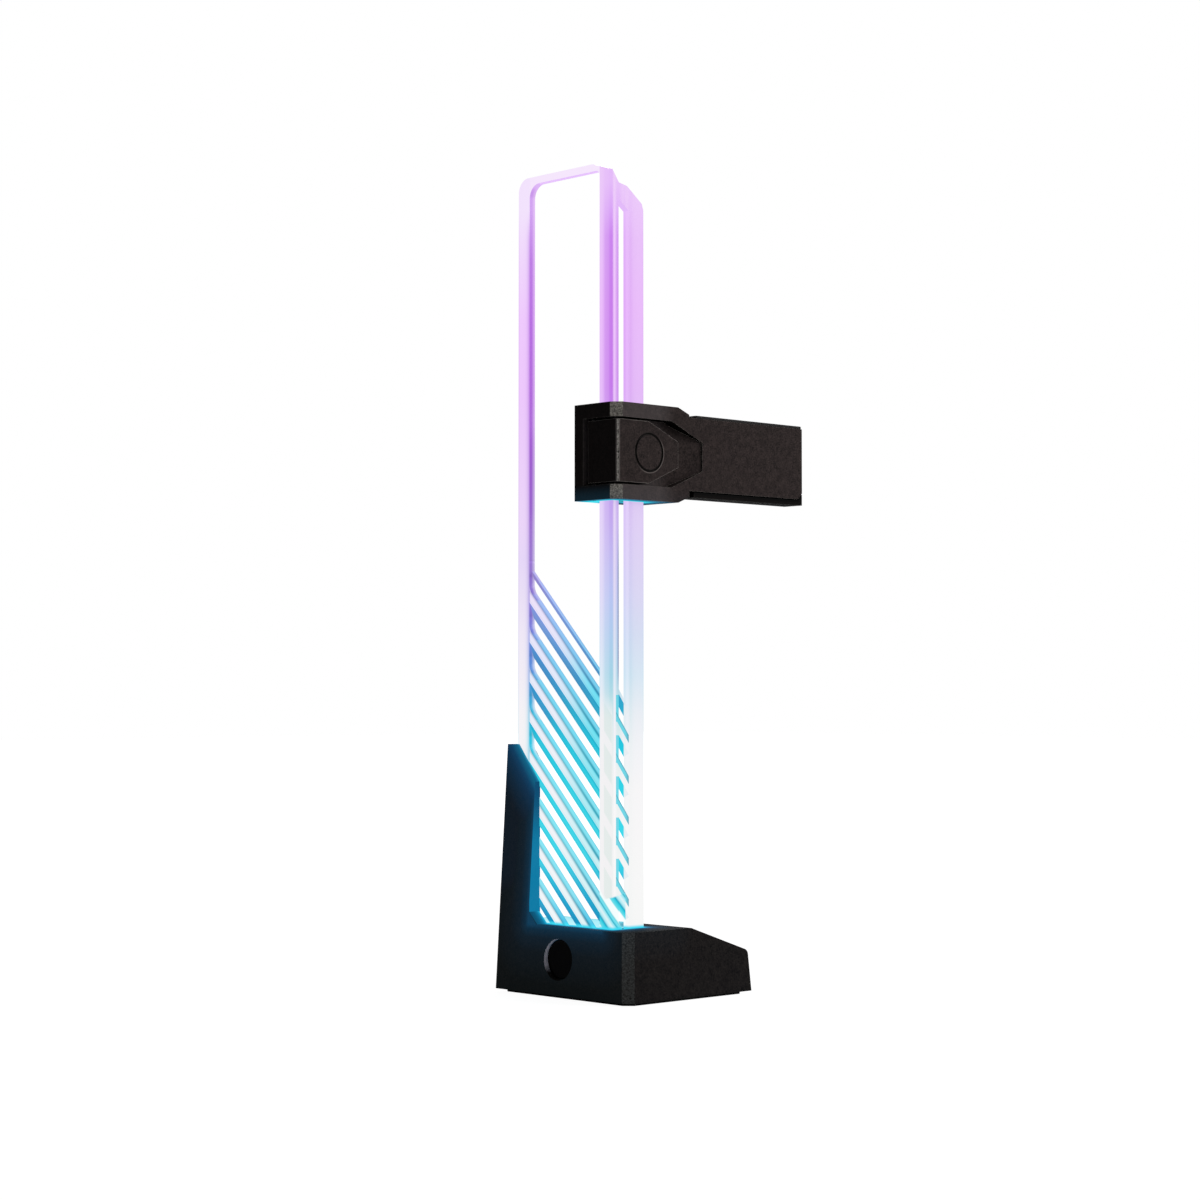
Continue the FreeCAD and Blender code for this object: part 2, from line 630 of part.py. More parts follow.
def make_magnets():
    """Three disc magnets in the base plate."""
    for number, along in enumerate(MAGNETS, start=1):
        disc(f"magnet_{number}", "magnet_radius", "magnet_height", "left + magnet_left",
             along, "plate_top - magnet_height", "z")


def group(label, solids):
    """One sub-part made of several separate solids."""
    together = document.addObject("Part::Compound", label)
    together.Links = solids
    together.Label = label
    bodies.append(together)
    return together


def screw(head, head_height, shank, length, across, along, up, axis):
    """A screw whose head starts at a place and points along an axis."""
    starts = {"x": (f"({across}) + {head_height}", along, up),
              "y": (across, f"({along}) + {head_height}", up),
              "-y": (across, f"({along}) - {head_height} - {length}", up),
              "z": (across, along, f"({up}) + {head_height}")}
    heads = {"-y": (across, f"({along}) - {head_height}", up)}.get(axis, (across, along, up))
    letter = axis[-1]
    solid = document.addObject("Part::MultiFuse", "Screw")
    solid.Shapes = [cylinder(head, head_height, *heads, letter),
                    cylinder(shank, length, *starts[axis], letter)]
    return solid


def make_base_screws():
    """Four screws that hold the base plate to the shell."""
    group("base_screws", [screw("screw_head", "screw_head_height", "screw_radius",
                                "screw_length", across, along, "foot_thickness", "z")
                          for across, along in BASE_SCREWS])


def make_keeper():
    """The bar whose tabs hold the light guide's foot in the base."""
    body = new_body("guide_keeper")
    pad(body, "top", "roof_low - keeper_height", "roof_low", lambda sketch: draw_box(
        sketch, "block_x", "keeper_start", "block_x + keeper_width", "keeper_end"))
    for sign in ("-", "+"):
        centre = f"keeper_middle {sign} keeper_tab_place"
        pad(body, "top", "roof_low - keeper_height", "roof_low", lambda sketch: draw_box(
            sketch, "guide_x", f"{centre} - keeper_tab / 2",
            "block_x + keeper_width / 2", f"{centre} + keeper_tab / 2"))
    for across, along in KEEPER_SCREWS:
        pocket(body, "top", "roof_low - keeper_height - 1", "roof_low + 1",
               lambda sketch: draw_circle(sketch, across, along, "small_screw + screw_fit"))
    group("keeper_screws", [screw("small_head", "small_head_height", "small_screw",
                                  "keeper_screw_length", across, along,
                                  "roof_low - keeper_height - small_head_height", "z")
                            for across, along in KEEPER_SCREWS])


def make_light_board():
    """The light board under the guide, with a tail to the cable socket."""
    body = new_body("light_board")
    low = "board_x - board_width / 2"
    high = "board_x + board_width / 2"
    tail_end = "rear - board_back"
    tail_start = "rear - board_back - board_tail_width"
    pad(body, "top", "plate_top", "board_top", lambda sketch: draw_outline(sketch, [
        (low, "front + board_front"), (high, "front + board_front"),
        (high, tail_start), ("left + socket_left + socket_width", tail_start),
        ("left + socket_left + socket_width", "rear - base_wall - plate_gap"),
        ("left + socket_left", "rear - base_wall - plate_gap"),
        ("left + socket_left", tail_end), (low, tail_end)]))
    for number in range(int(size("light_count"))):
        make_light(number)


def make_light(number):
    """One light chip on the board."""
    chip = document.addObject("Part::Box", f"light_chip_{number + 1}")
    chip.Label = chip.Name
    tie(chip, "Length", "light_width")
    tie(chip, "Width", "light_length")
    tie(chip, "Height", "light_height")
    tie(chip, ".Placement.Base.x", "board_x - light_width / 2")
    tie(chip, ".Placement.Base.y",
        f"front + light_first + {number} * light_pitch - light_length / 2")
    tie(chip, ".Placement.Base.z", "board_top")
    bodies.append(chip)


def make_cable_socket():
    """The socket in the base's rear wall that takes the lighting cable."""
    body = new_body("cable_socket")
    low = "left + socket_left"
    high = "left + socket_left + socket_width"
    pad(body, "front", "rear - socket_depth", "rear - plate_gap", lambda sketch: draw_box(
        sketch, low, "board_top", high, "board_top + socket_height"))
    pocket(body, "front", "rear - socket_depth + socket_back", "rear + 1",
           lambda sketch: draw_box(sketch, f"{low} + socket_wall", "board_top + socket_wall",
                                   f"{high} - socket_wall",
                                   "board_top + socket_height - socket_wall"))
    contacts = []
    for number in (-1, 0, 1):
        contact = document.addObject("Part::Box", "Contact")
        tie(contact, "Length", "contact_side")
        tie(contact, "Width", "contact_length")
        tie(contact, "Height", "contact_side")
        tie(contact, ".Placement.Base.x", "left + socket_left + socket_width / 2"
            f" + {number} * contact_pitch - contact_side / 2")
        tie(contact, ".Placement.Base.y", "rear - socket_depth + socket_back")
        tie(contact, ".Placement.Base.z",
            "board_top + socket_height / 2 - contact_side / 2")
        contacts.append(contact)
    group("socket_contacts", contacts)


def make_light_guide():
    """The clear L-section tower with its window, slit and slanted slots."""
    body = new_body("light_guide")
    pad(body, "side", "guide_x", "guide_inner_x", lambda sketch: draw_outline(sketch, [
        ("guide_y", "blank_foot"), ("guide_rear", "blank_foot"), ("guide_rear", "guide_top"),
        ("guide_y + brow_depth", "guide_top"), ("guide_y", "brow_corner")]))
    pad(body, "front", "guide_y", "guide_inner_y", lambda sketch: draw_outline(sketch, [
        ("guide_x", "blank_foot"), ("guide_right", "blank_foot"),
        ("guide_right", "brow_right - brow_nick"), ("guide_right - brow_bevel", "brow_right"),
        ("guide_x + brow_ledge", "brow_shelf - brow_sag"),
        ("guide_x + brow_step", "brow_shelf"), ("guide_x", "brow_corner")]))
    pocket(body, "front", "guide_y - 1", "guide_inner_y", lambda sketch: draw_outline(sketch, [
        ("guide_x", "brow_corner"), ("guide_x + brow_step", "brow_shelf"),
        ("guide_x + brow_step", "guide_top + 1"), ("guide_x", "guide_top + 1")]))
    cut_slots(body)
    cut_louvres(body)
    pocket(body, "top", "blank_foot", "guide_foot", lambda sketch: draw_box(
        sketch, "guide_x - 1", "guide_y - 1", "guide_right + 1", "guide_rear + 1"))
    pocket(body, "side", "guide_x - 1", "guide_inner_x + 1", draw_window)
    pocket(body, "front", "guide_y - 1", "guide_inner_y + 1", lambda sketch: draw_outline(
        sketch, [("slit_x", "slit_low"), ("slit_end", "slit_low - slit_slope * slit_width"),
                 ("slit_end", "slit_top - slit_shoulder"), ("slit_x", "slit_top")]))
    dress(body, "Fillet", "guide_round", near_line("guide_rear", "guide_top"))
    dress(body, "Fillet", "window_round", near_line("rail_rear_y", "window_top"))
    dress(body, "Fillet", "window_bevel", near_line("rail_corner_y", "window_top"))
    pad(body, "top", "guide_foot", "guide_foot + guide_root", guide_plan("0"))
    for sign in ("-", "+"):
        centre = f"keeper_middle {sign} keeper_tab_place"
        half = "keeper_tab / 2 + keeper_tab_gap"
        pocket(body, "side", "guide_x - 1", "guide_inner_x + 1", lambda sketch: draw_box(
            sketch, f"{centre} - ({half})", "roof_low - keeper_height - keeper_tab_gap",
            f"{centre} + {half}", "roof_low + keeper_tab_gap"))
    return body


def draw_window(sketch):
    """The big window, whose low edge is parallel to the slots."""
    draw_outline(sketch, [("rail_corner_y", "window_low - slot_run"),
                          ("rail_rear_y", "window_low"), ("rail_rear_y", "window_top"),
                          ("rail_corner_y", "window_top")])


def slanted_box(sketch, near, far, top, height, fall):
    """A slot that falls from its near end to its far end."""
    draw_outline(sketch, [(far, f"{top} - {height} - ({fall})"), (near, f"{top} - {height}"),
                          (near, top), (far, f"{top} - ({fall})")])


def on_slots(one, other, across, near, top, slope):
    """True for an edge along the upper wall of one of a row of slots."""
    places = [(top - end.z + slope * (getattr(end, across) - near)) / size("slot_pitch")
              for end in (one, other)]
    return (abs(places[0] - places[1]) < 0.001 and abs(places[0] - round(places[0])) < 0.001
            and abs(getattr(one, across) - getattr(other, across)) > 1)


def cut_slots(body):
    """The slanted slots of the side panel, wider at the outer face."""
    top = "slot_first - slot_mouth + slot_throat"
    first = pocket(body, "side", "guide_x - 1", "guide_inner_x + 1",
                   lambda sketch: slanted_box(sketch, "rail_rear_y", "rail_corner_y", top,
                                              "slot_throat", "slot_run"))
    repeat_down(body, first, "slot_pitch", "slot_count")
    row = ("y", size("rail_rear_y"), size(top), size("slot_slope"))
    slope_edges(body, "(slot_mouth - slot_throat) * cos(slot_rise * 1deg)",
                "guide_wall - slot_land",
                lambda one, other: max(one.x, other.x) < size("guide_x") + 0.01
                and on_slots(one, other, *row))
    dress(body, "Fillet", "slot_round", lambda one, other: abs(one.x - other.x) > 1
          and abs(one.z - other.z) < 1e-4 and abs(one.y - size("rail_rear_y")) < 1e-4
          and abs(other.y - size("rail_rear_y")) < 1e-4 and on_pitch(one.z))


def on_pitch(height):
    """True for the height of one slot's lower rear corner."""
    steps = (size("slot_first - slot_mouth") - height) / size("slot_pitch")
    return abs(steps - round(steps)) < 0.001


def cut_louvres(body):
    """The louvre gaps of the front panel, wider at the outer face."""
    top = "slit_first - slit_mouth + slit_throat"
    first = pocket(body, "front", "guide_y - 1", "guide_inner_y + 1",
                   lambda sketch: slanted_box(sketch, "slit_x", "slit_end", top, "slit_throat",
                                              "slit_slope * slit_width"))
    repeat_down(body, first, "slot_pitch", "slit_count")
    row = ("x", size("slit_x"), size(top), -size("slit_slope"))
    slope_edges(body, "(slit_mouth - slit_throat) * cos(slit_fall * 1deg)",
                "guide_wall - slot_land",
                lambda one, other: max(one.y, other.y) < size("guide_y") + 0.01
                and on_slots(one, other, *row))


CARRIAGE_SCREWS = ["carriage_middle - carriage_screw_spread",
                   "carriage_middle + carriage_screw_spread"]


def make_carriage_shell():
    """The front half of the carriage: collar, shoulder and arm in one moulding."""
    body = new_body("carriage_shell")
    pad(body, "top", "collar_low", "collar_top", lambda sketch: draw_outline(sketch, [
        ("collar_x", "collar_rear"), ("collar_x", "collar_y + collar_bevel"),
        ("collar_x + collar_bevel", "collar_y"), ("shoulder_x", "collar_y"),
        ("shoulder_x", "block_y"), ("guide_right + guide_gap", "block_y"),
        ("guide_right + guide_gap", "guide_y - guide_gap"),
        ("guide_x - guide_gap", "guide_y - guide_gap"),
        ("guide_x - guide_gap", "collar_rear")]))
    end = "shoulder_x + collar_shoulder"
    pad(body, "front", "collar_y", "arm_inside - seam", lambda sketch: draw_outline(sketch, [
        ("shoulder_x - collar_shoulder", "collar_low"), ("shoulder_x", "collar_low"),
        (end, "arm_low"), (end, "arm_top"), ("shoulder_x", "collar_top"),
        ("shoulder_x - collar_shoulder", "collar_top")]))
    pad(body, "front", "collar_y", "arm_inside - seam", draw_arm_front)
    pocket(body, "front", "collar_y + arm_skin", "arm_rear", lambda sketch: draw_box(
        sketch, "collar_x + arm_hollow", "lip_top + seam + arm_skin / 2",
        "arm_end - arm_skin", "arm_top - rest_thickness - arm_skin"))
    for number in range(int(size("arm_rib_count"))):
        start = f"collar_x + arm_rib_first + {number} * arm_rib_pitch"
        pad(body, "front", "collar_y + arm_skin / 2", "arm_inside - seam",
            lambda sketch: draw_box(sketch, start, "lip_top + seam + arm_skin / 4",
                                    f"{start} + arm_rib", "arm_top - rest_thickness"))
    cut_lever_recess(body)
    cut_carriage_holes(body)
    return body


def draw_arm_front(sketch):
    """The arm seen from the front, without the strip on top and the lip below."""
    draw_outline(sketch, [
        ("shoulder_x", "lip_top + seam"), ("arm_end - cover_corner", "lip_top + seam"),
        ("arm_end", "lip_top + seam + cover_corner"),
        ("arm_end", "arm_top - rest_thickness"), ("shoulder_x", "arm_top - rest_thickness")])


def recess_outline(start, end, nose, height, tip):
    """A flat shape that narrows to its right end, level about the carriage."""
    def draw(sketch):
        draw_outline(sketch, [
            (start, f"carriage_middle - ({height}) / 2"),
            (f"({end}) - ({nose})", f"carriage_middle - ({height}) / 2"),
            (end, f"carriage_middle - ({tip}) / 2"), (end, f"carriage_middle + ({tip}) / 2"),
            (f"({end}) - ({nose})", f"carriage_middle + ({height}) / 2"),
            (start, f"carriage_middle + ({height}) / 2")])
    return draw


def cut_lever_recess(body):
    """The recess for the lever on the carriage's corner, and its hinge."""
    low = "lever_low - lever_gap"
    high = "lever_top + lever_gap"
    pocket(body, "front", "collar_y - 1", "recess_floor", recess_outline(
        "collar_x - 1", "collar_x + finger_reach", "finger_nose",
        "lever_height + 2 * lever_gap", "finger_tip"))
    pad(body, "top", low, high, lambda sketch: draw_outline(sketch, [
        ("collar_x + lever_reach", "recess_floor"),
        ("collar_x + finger_reach", "collar_y + finger_step"),
        ("collar_x + finger_reach", "recess_floor")]))
    pocket(body, "top", low, high, lambda sketch: draw_outline(sketch, [
        ("collar_x - 1", "collar_y - 1"), ("collar_x + lever_side + lever_lift", "collar_y - 1"),
        ("collar_x + lever_side + lever_lift", "hinge_y - hinge_eye - hinge_swing"),
        ("hinge_x + hinge_eye + hinge_swing", "hinge_y - hinge_eye - hinge_swing"),
        ("hinge_x + hinge_eye + hinge_swing", "collar_y + lever_rear + lever_room"),
        ("collar_x - 1", "collar_y + lever_rear + lever_room")]))
    pocket(body, "top", "collar_low - 1", "lever_top + lever_gap + hinge_grip",
           lambda sketch: draw_circle(sketch, "hinge_x", "hinge_y", "hinge_pin"))


def cut_carriage_holes(body):
    """The brake pad's window and the holes for screws."""
    pocket(body, "front", "recess_floor - 1", "guide_y",
           lambda sketch: draw_brake(sketch, "brake_gap"))
    pocket(body, "front", "recess_floor - 1", "recess_floor + brake_rim_depth",
           lambda sketch: draw_brake(sketch, "brake_rim + brake_gap"))
    for height in CARRIAGE_SCREWS:
        pocket(body, "front", "block_y - screw_reach", "block_y + 1",
               lambda sketch: draw_circle(sketch, "collar_x + carriage_screw_reach", height,
                                          "small_screw + screw_fit"))


def draw_brake(sketch, gap):
    half_width = f"(brake_width / 2 + {gap})"
    half_height = f"(brake_height / 2 + {gap})"
    draw_box(sketch, f"brake_x - {half_width}", f"carriage_middle - {half_height}",
             f"brake_x + {half_width}", f"carriage_middle + {half_height}")


def make_clamp_block():
    """The rear half of the carriage, behind the guide's front panel."""
    body = new_body("clamp_block")
    pad(body, "top", "collar_low", "collar_top", lambda sketch: draw_outline(sketch, [
        ("block_x", "block_y"), ("shoulder_x", "block_y"), ("shoulder_x", "collar_rear"),
        ("guide_x - guide_gap", "collar_rear"), ("guide_x - guide_gap", "tongue_y"),
        ("block_x", "tongue_y")]))
    dress(body, "Chamfer", "collar_bevel", lambda one, other: upright(one, other)
          and one.x > size("shoulder_x") - 0.01 and one.y > size("collar_rear") - 0.01)
    for height in CARRIAGE_SCREWS:
        reach = "collar_x + carriage_screw_reach"
        pocket(body, "front", "block_y - 1", "collar_rear + 1", lambda sketch: draw_circle(
            sketch, reach, height, "small_screw + screw_fit"))
        pocket(body, "front", "screw_seat", "collar_rear + 1", lambda sketch: draw_circle(
            sketch, reach, height, "small_head + screw_fit"))
    pocket(body, "front", "block_y - 1", "block_y + glide_bed", lambda sketch: draw_box(
        sketch, "glide_front_x", "glide_low", "glide_front_x + glide_length", "glide_high"))
    pocket(body, "side", "block_x - 1", "block_x + glide_bed", lambda sketch: draw_box(
        sketch, "glide_side_y", "glide_low", "glide_side_y + glide_width", "glide_high"))
    return body


def make_glides():
    """Two slippery strips let into the clamp block against the guide."""
    front_strip = new_body("glide_front")
    pad(front_strip, "front", "block_y + glide_bed - glide_thickness", "block_y + glide_bed",
        lambda sketch: draw_box(sketch, "glide_front_x", "glide_low",
                                "glide_front_x + glide_length", "glide_high"))
    side_strip = new_body("glide_side")
    pad(side_strip, "side", "block_x + glide_bed - glide_thickness", "block_x + glide_bed",
        lambda sketch: draw_box(sketch, "glide_side_y", "glide_low",
                                "glide_side_y + glide_width", "glide_high"))


def make_carriage_screws():
    """Two screws that draw the clamp block to the carriage shell."""
    group("carriage_screws", [screw("small_head", "small_head_height", "small_screw",
                                    "carriage_screw_length",
                                    "collar_x + carriage_screw_reach",
                                    "screw_seat + small_head_height", height, "-y")
                              for height in CARRIAGE_SCREWS])


COVER_SCREWS = ["collar_x + cover_screw_first", "arm_end - cover_screw_end"]


def make_arm_cover():
    """The rear cover of the arm, whose lip shows below the arm's front."""
    body = new_body("arm_cover")
    start = "collar_x + cover_start"
    pad(body, "front", "arm_inside", "arm_rear", lambda sketch: draw_box(
        sketch, start, "arm_low", "arm_end", "arm_top - rest_thickness"))
    pad(body, "front", "collar_y", "arm_rear", lambda sketch: draw_outline(sketch, [
        (start, "arm_low"), ("arm_end", "arm_low"),
        ("arm_end", "lip_top + cover_corner"), ("arm_end - cover_corner", "lip_top"),
        (start, "lip_top")]))
    for across in COVER_SCREWS:
        pocket(body, "front", "arm_inside - 1", "arm_rear + 1", lambda sketch: draw_circle(
            sketch, across, "arm_low + cover_screw_low", "small_screw + screw_fit"))
        pocket(body, "front", "arm_rear - small_head_height", "arm_rear + 1",
               lambda sketch: draw_circle(sketch, across, "arm_low + cover_screw_low",
                                          "small_head + screw_fit"))
    group("cover_screws", [screw("small_head", "small_head_height", "small_screw",
                                 "cover_screw_length", across, "arm_rear",
                                 "arm_low + cover_screw_low", "-y")
                           for across in COVER_SCREWS])
    return body


def make_arm_rest():
    """The soft strip on top of the arm that the card lies on."""
    body = new_body("arm_rest")
    pad(body, "top", "arm_top - rest_thickness", "arm_top", lambda sketch: draw_box(
        sketch, "collar_x + rest_start", "collar_y + rest_inset",
        "arm_end - rest_inset", "arm_rear - rest_inset"))
    return body


def make_brake_pad():
    """The rubber pad that the closed lever presses against the guide."""
    body = new_body("brake_pad")
    pad(body, "front", "recess_floor - brake_stand",
        "recess_floor + brake_rim_depth - brake_gap",
        lambda sketch: draw_brake(sketch, "brake_rim"))
    pad(body, "front", "recess_floor - brake_stand", "guide_y - brake_gap",
        lambda sketch: draw_brake(sketch, "0"))
    return body


def make_hinge_pin():
    """The pin that the lever turns on."""
    pin = cylinder("hinge_pin", "lever_top + lever_gap + hinge_grip - collar_low - hinge_sink",
                   "hinge_x", "hinge_y", "collar_low + hinge_sink", "z")
    pin.Label = "hinge_pin"
    bodies.append(pin)


def make_clamp_lever():
    """The lever that wraps the carriage's corner."""
    body = new_body("clamp_lever")
    inner = "collar_x + lever_side"
    behind = "collar_y + lever_wall"
    outer = "collar_x + lever_recess"
    pad(body, "top", "lever_low", "lever_top", lambda sketch: draw_outline(sketch, [
        (outer, "collar_y + lever_rear"), (outer, "collar_y + lever_bevel"),
        (f"{outer} + lever_bevel", "collar_y"), ("collar_x + lever_reach", "collar_y"),
        ("collar_x + lever_reach", behind), (inner, behind),
        (inner, "collar_y + lever_rear")]))
    pad(body, "top", "lever_low", "lever_top", lambda sketch: draw_circle(
        sketch, "hinge_x", "hinge_y", "hinge_eye"))
    for sign in ("-", "+"):
        pocket(body, "front", "collar_y - 1", f"{behind} + 1",
               lambda sketch: draw_nose_cut(sketch, sign))
    pad(body, "front", f"{behind} - cam_height", f"{behind} + cam_height",
        lambda sketch: draw_box(sketch, "brake_x - cam_width / 2",
                                "carriage_middle - cam_length / 2",
                                "brake_x + cam_width / 2", "carriage_middle + cam_length / 2"))
    pocket(body, "top", "lever_low - 1", "lever_top + 1", lambda sketch: draw_circle(
        sketch, "hinge_x", "hinge_y", "hinge_pin + hinge_fit"))
    pocket(body, "front", "collar_y - 1", "collar_y + ring_depth", draw_ring)
    return body


def draw_nose_cut(sketch, sign):
    """The corner that is cut off above or below the lever's tip."""
    draw_outline(sketch, [
        ("collar_x + lever_reach - lever_nose", f"carriage_middle {sign} lever_height / 2"),
        ("collar_x + lever_reach", f"carriage_middle {sign} lever_tip / 2"),
        ("collar_x + lever_reach + 1", f"carriage_middle {sign} lever_tip / 2"),
        ("collar_x + lever_reach + 1", f"carriage_middle {sign} (lever_height / 2 + 1)"),
        ("collar_x + lever_reach - lever_nose",
         f"carriage_middle {sign} (lever_height / 2 + 1)")])


def draw_ring(sketch):
    """The ring groove that marks where to press the lever."""
    for radius in ("ring_radius", "ring_radius - ring_width"):
        draw_circle(sketch, "collar_x + ring_reach", "carriage_middle", radius)


def check(thing):
    """Stops the macro if a sub-part is not a sound solid."""
    shape = thing.Shape
    if shape.isNull() or not shape.isValid() or not shape.Solids:
        raise ValueError(thing.Label + " is not a sound solid")


def main():
    fill_sheet()
    make_base_shell()
    make_base_plate()
    make_foot_pad()
    make_round_cap()
    make_magnets()
    make_base_screws()
    make_keeper()
    make_light_board()
    make_cable_socket()
    make_light_guide()
    make_carriage_shell()
    make_clamp_block()
    make_glides()
    make_carriage_screws()
    make_arm_cover()
    make_arm_rest()
    make_brake_pad()
    make_hinge_pin()
    make_clamp_lever()
    document.recompute()
    failed = [thing.Label for thing in document.Objects
              if "Invalid" in thing.State or "Error" in thing.State]
    if failed:
        raise ValueError("failed objects: " + ", ".join(failed))
    os.makedirs("parts", exist_ok=True)
    for thing in bodies:
        check(thing)
        thing.Shape.exportStep(f"parts/{thing.Label}.step")
        box = thing.Shape.BoundBox
        print(f"{thing.Label}: {len(thing.Shape.Solids)} solid, "
              f"{thing.Shape.Volume:.1f} mm3, z {box.ZMin:.2f} to {box.ZMax:.2f}")


main()
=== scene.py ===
# %% [markdown]
# # A lit support bracket for a graphics card
#
# The bracket is a clear, slotted tower in a low black base, with a black arm on
# a carriage that slides up and down the tower's corner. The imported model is
# loaded first as a fixed frame, in metres: every piece made here is placed by
# it, and moves with one of its bodies.

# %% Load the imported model
import functools
import json
import math

import bmesh
import bpy
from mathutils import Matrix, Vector

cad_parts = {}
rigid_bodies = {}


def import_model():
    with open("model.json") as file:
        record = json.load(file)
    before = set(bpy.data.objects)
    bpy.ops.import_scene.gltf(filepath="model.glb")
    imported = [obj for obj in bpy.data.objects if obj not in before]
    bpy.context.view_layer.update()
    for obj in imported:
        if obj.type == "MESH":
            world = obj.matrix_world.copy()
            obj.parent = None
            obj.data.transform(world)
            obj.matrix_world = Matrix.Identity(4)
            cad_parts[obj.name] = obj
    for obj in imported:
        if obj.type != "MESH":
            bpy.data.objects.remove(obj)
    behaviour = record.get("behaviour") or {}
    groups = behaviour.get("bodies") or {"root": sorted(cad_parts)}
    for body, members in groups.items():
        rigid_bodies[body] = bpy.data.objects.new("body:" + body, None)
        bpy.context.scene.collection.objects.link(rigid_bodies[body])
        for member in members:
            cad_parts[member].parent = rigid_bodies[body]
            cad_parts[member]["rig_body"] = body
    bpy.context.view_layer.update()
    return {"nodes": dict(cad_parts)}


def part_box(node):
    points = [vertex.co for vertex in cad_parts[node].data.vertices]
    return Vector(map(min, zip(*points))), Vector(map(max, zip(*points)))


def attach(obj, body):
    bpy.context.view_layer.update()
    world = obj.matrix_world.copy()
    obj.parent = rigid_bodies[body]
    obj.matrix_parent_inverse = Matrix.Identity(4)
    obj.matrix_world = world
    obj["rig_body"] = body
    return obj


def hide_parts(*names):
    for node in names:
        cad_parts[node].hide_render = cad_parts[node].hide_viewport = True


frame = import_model()
nodes = frame["nodes"]
MM = 0.001

# %% [markdown]
# ## Tools for objects and nodes
#
# Two jobs come back in every step: putting an object in the scene, and adding a
# shader node with its inputs filled in. An input is either a plain number or
# colour, which is written straight into its socket, or another node's result,
# which is linked to it. A socket knows the tree that it belongs to, so a result
# can be passed on without its tree.

# %% Objects and nodes
scene = bpy.context.scene
WHITE = (1.0, 1.0, 1.0, 1.0)
BLACK = (0.0, 0.0, 0.0, 1.0)


def add_object(name, data):
    made = bpy.data.objects.new(name, data)
    scene.collection.objects.link(made)
    return made


def object_from(bm, name):
    """Turns a bmesh into an object in the scene."""
    mesh = bpy.data.meshes.new(name)
    bm.to_mesh(mesh)
    bm.free()
    return add_object(name, mesh)


def link(source, target):
    source.id_data.links.new(source, target)


def fill(node, inputs):
    """Writes values into a node's inputs, or links other nodes' results to them."""
    for name, value in inputs.items():
        if isinstance(value, bpy.types.NodeSocket):
            link(value, node.inputs[name])
        else:
            node.inputs[name].default_value = value
    return node


def add_node(tree, kind, inputs=None, **settings):
    """A new node with its settings and inputs filled in."""
    made = tree.nodes.new(kind)
    for name, value in settings.items():
        setattr(made, name, value)
    return fill(made, inputs or {})


# %% [markdown]
# ## Sums with nodes
#
# A finish is a chain of Math nodes, one for each sum, so short names keep a long
# chain readable. Neighbouring colours meet over an eased step, because a hard
# one looks cut out. A plateau is such a step up and another one down.

# %% Sums


def calc(operation, *terms, clamp=False):
    """One sum, whose terms are numbers or other nodes' results."""
    tree = next(term.id_data for term in terms if isinstance(term, bpy.types.NodeSocket))
    made = add_node(tree, "ShaderNodeMath", dict(enumerate(terms)), operation=operation,
                    use_clamp=clamp)
    return made.outputs[0]


plus, minus, larger, smaller, above, below = (
    functools.partial(calc, operation) for operation in
    ("ADD", "SUBTRACT", "MAXIMUM", "MINIMUM", "GREATER_THAN", "LESS_THAN"))


def times(*terms):
    return functools.reduce(functools.partial(calc, "MULTIPLY"), terms)


def opposite(share):
    return minus(1.0, share)


def negative(value):
    return times(value, -1.0)


def spread(source, low, high, start=0.0, end=1.0):
    """Stretches a value between start and end to a new range."""
    made = add_node(source.id_data, "ShaderNodeMapRange",
                    {"Value": source, "From Min": start, "From Max": end,
                     "To Min": low, "To Max": high})
    return made.outputs["Result"]


def ease(source, low, high):
    """0 below low and 1 above high, with a soft step between them."""
    made = add_node(source.id_data, "ShaderNodeMapRange",
                    {"Value": source, "From Min": low, "From Max": high},
                    interpolation_type="SMOOTHSTEP")
    return made.outputs["Result"]


def ease_mm(source, low, high):
    """A soft step over a length, given in millimetres."""
    return ease(source, low * MM, high * MM)


def plateau(source, rise, fall):
    """Up over one pair of millimetres and down again over another."""
    return times(ease_mm(source, *rise), opposite(ease_mm(source, *fall)))


def within(source, low, high):
    """1 between two values and 0 outside them."""
    return times(above(source, low), below(source, high))


def within_mm(source, low, high):
    return within(source, low * MM, high * MM)


print("sums defined, in steps of", MM, "m")

# %% [markdown]
# ## Background
#
# The bracket was photographed against pure white. The world shows white to the
# camera, to reflections and to what is seen through the clear tower, while
# plain grey light falls on the surfaces. Doing it with the Light Path node
# keeps the white from flooding the black plastic with light.

# %% World
scene.view_settings.view_transform = "Standard"
FILL_LIGHT = 0.16
FILL_COLOUR = (0.94, 0.96, 1.0, 1.0)


def build_world():
    world = bpy.data.worlds.new("white_studio")
    scene.world = world
    world.use_nodes = True
    tree = world.node_tree
    tree.nodes.clear()
    ray = add_node(tree, "ShaderNodeLightPath").outputs
    seen = larger(larger(ray["Is Camera Ray"], ray["Is Transmission Ray"]),
                  ray["Is Glossy Ray"])
    backdrop = add_node(tree, "ShaderNodeBackground", {"Color": WHITE, "Strength": 1.0})
    light = add_node(tree, "ShaderNodeBackground",
                     {"Color": FILL_COLOUR, "Strength": FILL_LIGHT})
    mix = add_node(tree, "ShaderNodeMixShader",
                   {"Fac": seen, 1: light.outputs[0], 2: backdrop.outputs[0]})
    add_node(tree, "ShaderNodeOutputWorld", {"Surface": mix.outputs[0]})


build_world()
print("world fill", FILL_LIGHT)

# %% [markdown]
# ## Lamps
#
# The photograph's light comes from the right and a little above: the faces that
# look to the right are dark grey and the ones that look to the left are nearly
# black. One large soft lamp does that, and a weaker one keeps the back
# readable.

